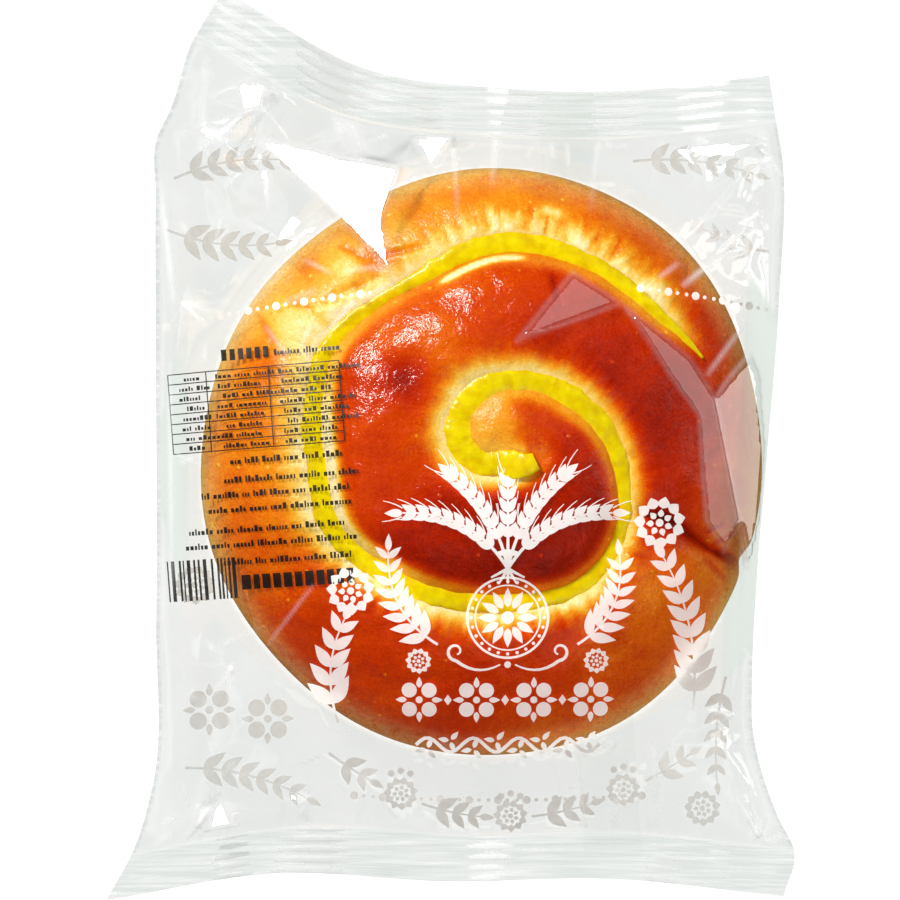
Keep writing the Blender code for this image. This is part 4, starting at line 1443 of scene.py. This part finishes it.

# The back's white print: the same plain flowers on the sheet's other half, which shows faintly through
# the bag beside the bun. Its ink is the white ink made darker and greyer, which is painted shade.
back_motifs = [
    [shape for x, y in ((-50, -54), (-38, -56)) for shape in blossom(x, y, 5.2)],
    sprig(bowed((-55.0, -66.0), (-30.0, -72.5), 1.6), 6.0, 2.4, 4.0),
    sprig(bowed((57.2, -47.0), (55.5, -69.0), -1.0), 4.8, 2.0, 3.8),
    daisy(52.5, -74.5, 3.8) + daisy(-53.0, -28.0, 4.2),
    sprig(bowed((-57.0, 56.0), (-34.0, 60.0), 1.6), 5.4, 2.2, 4.0),
    sprig(bowed((-58.5, 45.5), (-36.5, 43.0), -1.5), 6.4, 2.5, 3.6),
    sprig(bowed((38.0, 60.0), (63.0, 57.0), 1.4), 5.4, 2.2, 4.0),
    beads(bowed((-20.0, -72.0), (40.0, -72.0), -1.0, 2.0)),
]
# The back ink's shades: the white ink darkened, as painted shade
SHADED_BACK_INK = ((0.0, (208, 202, 192)), (1.0, (224, 218, 209)))
BACK_COVER, BACK_INK_RISE = (0.50, 0.62), 0.05 * MM
shaded_back_ink = ink_material("shaded back ink", SHADED_BACK_INK, BACK_COVER, WHITE_SHADE)
back_print = new_piece("back_print", *print_mesh(back_motifs, back_tree, 1, BACK_INK_RISE), shaded_back_ink)

# The label: a panel of black print on the film's left, turned a little with the film. It has a
# plain table, blocks, stripes and rows of short marks.
LABEL_CENTRE, LABEL_TURN = (-40.1, -4.2), 4.5
TABLE_LEFT, TABLE_RIGHT, TABLE_TOP, TABLE_ROWS, TABLE_ROW = -16.7, 19.2, 21.0, 8, 2.05
TABLE_LINES, TABLE_COLUMNS = (-8.5, 4.6), ((-14.7, -9.4), (-7.0, 3.6), (6.5, 18.2))
RULE_WIDTH, EDGE_RULE_WIDTH = 0.22, 0.24
MARK_ROWS = (1.6, -2.2, -5.2, -8.2, -12.4, -15.4, -19.0)
MARK_HEIGHT, TABLE_MARK_HEIGHT, TOP_MARK_HEIGHT = 1.35, 1.0, 1.3
MARK_WIDTHS, MARK_RISES, MARK_GAP, GROUP_GAP = (0.34, 0.5, 0.72), (0.62, 0.62, 0.95), 0.24, 0.6
# Rows of blocks and the stripes: first and last place along them, their foot and their top
DATE_BLOCKS, DATE_BLOCK_WIDTH, DATE_PITCH = (-5.0, 5.0, 22.9, 25.2), 1.1, 1.75
TITLE_BLOCKS, TITLE_WIDTHS, TITLE_GAP = (-4.4, 18.0, -24.2, -21.2), (1.2, 2.4), 0.55
STRIPES, STRIPE_WIDTHS, STRIPE_GAPS = (-19.8, -4.6, -25.8, -17.4), (0.3, 0.45, 0.75), (0.3, 0.5, 0.8)


def slab(u0, v0, u1, v1):
    """A rectangle on the label, with points close enough to follow the film."""
    return stroke(bowed((u0, (v0 + v1) / 2), (u1, (v0 + v1) / 2), 0.0), v1 - v0)


def marks(draw, u0, u1, v, height):
    """A row of short blocks in groups, as a line of small print looks from afar."""
    shapes, u = [], u0
    while u < u1:
        for _ in range(draw.integers(3, 9)):
            width, rise = draw.choice(MARK_WIDTHS), height * draw.choice(MARK_RISES)
            shapes.append(slab(u, v, u + width, v + rise))
            u += width + MARK_GAP
        u += GROUP_GAP
    return shapes


def upright(u, low, high, width):
    """A narrow upright bar on the label."""
    return stroke(bowed((u, low), (u, high), 0.0), width)


def label_shapes():
    """The label's table with its marks, its rows of marks, its blocks and its stripes."""
    draw = np.random.default_rng(23)
    shapes = []
    for k in range(TABLE_ROWS + 1):
        v = TABLE_TOP - k * TABLE_ROW
        shapes.append(slab(TABLE_LEFT, v - RULE_WIDTH / 2, TABLE_RIGHT, v + RULE_WIDTH / 2))
        if k:
            for u0, u1 in TABLE_COLUMNS:
                shapes += marks(draw, draw.uniform(u0, u0 + 2), u1 - 1.2, v + 0.45, TABLE_MARK_HEIGHT)
    low = TABLE_TOP - TABLE_ROWS * TABLE_ROW
    for u in (TABLE_LEFT, *TABLE_LINES, TABLE_RIGHT):
        shapes.append(upright(u, low, TABLE_TOP, EDGE_RULE_WIDTH))
    for v in MARK_ROWS:
        shapes += marks(draw, draw.uniform(-17, -4), 18.0, v, MARK_HEIGHT)
    shapes += marks(draw, 6.0, 18.0, 23.2, TOP_MARK_HEIGHT)
    u, last, low, high = DATE_BLOCKS
    while u < last:
        shapes.append(slab(u, low, u + DATE_BLOCK_WIDTH, high))
        u += DATE_PITCH
    u, last, low, high = TITLE_BLOCKS
    while u < last:
        width = draw.uniform(*TITLE_WIDTHS)
        shapes.append(slab(u, low, u + width, high))
        u += width + TITLE_GAP
    u, last, low, high = STRIPES
    while u < last:
        width = draw.choice(STRIPE_WIDTHS)
        shapes.append(upright(u, low, high, width))
        u += width + draw.choice(STRIPE_GAPS)
    return [moved(shape, *LABEL_CENTRE, LABEL_TURN) for shape in shapes]


BLACK_INK = ((0.0, (6, 5, 5)), (1.0, (22, 19, 18)))
BLACK_COVER, BLACK_SHADE = (0.93, 1.0), 0.6
black_ink = ink_material("black ink", BLACK_INK, BLACK_COVER, BLACK_SHADE)
label_print = new_piece("label_print", *print_mesh([label_shapes()], front_tree, 1, -INK_DEPTH), black_ink)

# The floor, the light and the camera: a plain white table under soft boxes, and a long lens
# straight above it, as in the photograph.
MIDDLE_PIXEL = 450
METRES_PER_PIXEL = 0.209 * MM
LENS_MM, SENSOR_MM = 200.0, 36.0
CAMERA_HEIGHT = METRES_PER_PIXEL * 2 * MIDDLE_PIXEL * LENS_MM / SENSOR_MM
FLOOR_HALF, FLOOR_DROP, FLOOR_GLOW = 3.0, 0.2 * MM, 1.11
LIGHT_AIM = (0.0, 0.0, 0.02)
# The lights: where each stands, its sides in metres, its power in watts and its tint
SOFT_BOXES = {
    "key box": ((-0.52, 0.66, 0.72), (0.22, 0.22), 14.4, (1.0, 1.0, 1.0)),
    "side panel": ((0.81, 0.14, 0.50), (0.36, 0.28), 0.31, (1.0, 0.96, 0.93)),
    "low panel": ((0.93, 0.08, 0.22), (0.30, 0.18), 0.40, (1.0, 0.95, 0.90)),
    "small panel": ((0.46, 0.54, 0.84), (0.24, 0.24), 0.17, (1.0, 0.95, 0.95)),
    "fill lamp": ((0.40, -0.55, 0.80), (0.50, 0.50), 4.8, (1.0, 1.0, 1.0)),
}


def soft_box(name, place, size, power, tint):
    """A soft box that stands at a place and faces the bag."""
    light = bpy.data.lights.new(name, "AREA")
    light.shape = "RECTANGLE"
    light.size, light.size_y = size
    light.energy = power
    light.color = tint
    lamp = bpy.data.objects.new(name, light)
    lamp.location = place
    lamp.rotation_euler = (Vector(LIGHT_AIM) - Vector(place)).to_track_quat("-Z", "Y").to_euler()
    bpy.context.scene.collection.objects.link(lamp)
    return lamp


floor_corners = [
    (sx * FLOOR_HALF, sy * FLOOR_HALF, -FLOOR_DROP) for sx, sy in ((-1, -1), (1, -1), (1, 1), (-1, 1))
]
floor_mesh = bpy.data.meshes.new("floor")
floor_mesh.from_pydata(floor_corners, [], [(0, 1, 2, 3)])
floor_paint = bpy.data.materials.new("floor")
floor_paint.use_nodes = True
floor_shader = floor_paint.node_tree.nodes["Principled BSDF"]
floor_shader.inputs["Base Color"].default_value = (0.06, 0.06, 0.06, 1)
floor_shader.inputs["Roughness"].default_value = 0.9
floor_shader.inputs["Emission Color"].default_value = (1.0, 1.0, 1.0, 1)
floor_shader.inputs["Emission Strength"].default_value = FLOOR_GLOW
floor_mesh.materials.append(floor_paint)
floor = bpy.data.objects.new("floor", floor_mesh)
bpy.context.scene.collection.objects.link(floor)
floor.visible_glossy = False

lamps = {name: soft_box(name, *facts) for name, facts in SOFT_BOXES.items()}
lamps["fill lamp"].visible_glossy = False

# The studio's walls, and its dark ceiling round the camera: (height from the level, grey)
WALL_SHADES = ((0.0, 0.06), (0.30, 0.05), (0.80, 0.06), (0.88, 0.40), (0.94, 0.10), (0.985, 0.0))
world = bpy.data.worlds.new("studio")
world.use_nodes = True
studio = world.node_tree
direction = added(studio, "ShaderNodeTexCoord", {}, "Generated")
height = added(studio, "ShaderNodeSeparateXYZ", {"Vector": direction}, "Z")
walls = added(studio, "ShaderNodeValToRGB", {"Fac": height}, "Color")
set_stops(walls.node, [(at, (grey, grey, grey, 1)) for at, grey in WALL_SHADES])
studio.links.new(walls, studio.nodes["Background"].inputs["Color"])
studio.nodes["Background"].inputs["Strength"].default_value = 1.0
bpy.context.scene.world = world
bpy.context.scene.view_settings.view_transform = "Standard"
bpy.context.scene.cycles.caustics_reflective = False
bpy.context.scene.cycles.caustics_refractive = False

camera_data = bpy.data.cameras.new("camera")
camera_data.lens = LENS_MM
camera_data.sensor_width = SENSOR_MM
camera_data.clip_end = 10.0
camera = bpy.data.objects.new("camera", camera_data)
camera.location = (0.0, 0.0, CAMERA_HEIGHT)
bpy.context.scene.collection.objects.link(camera)
bpy.context.scene.camera = camera
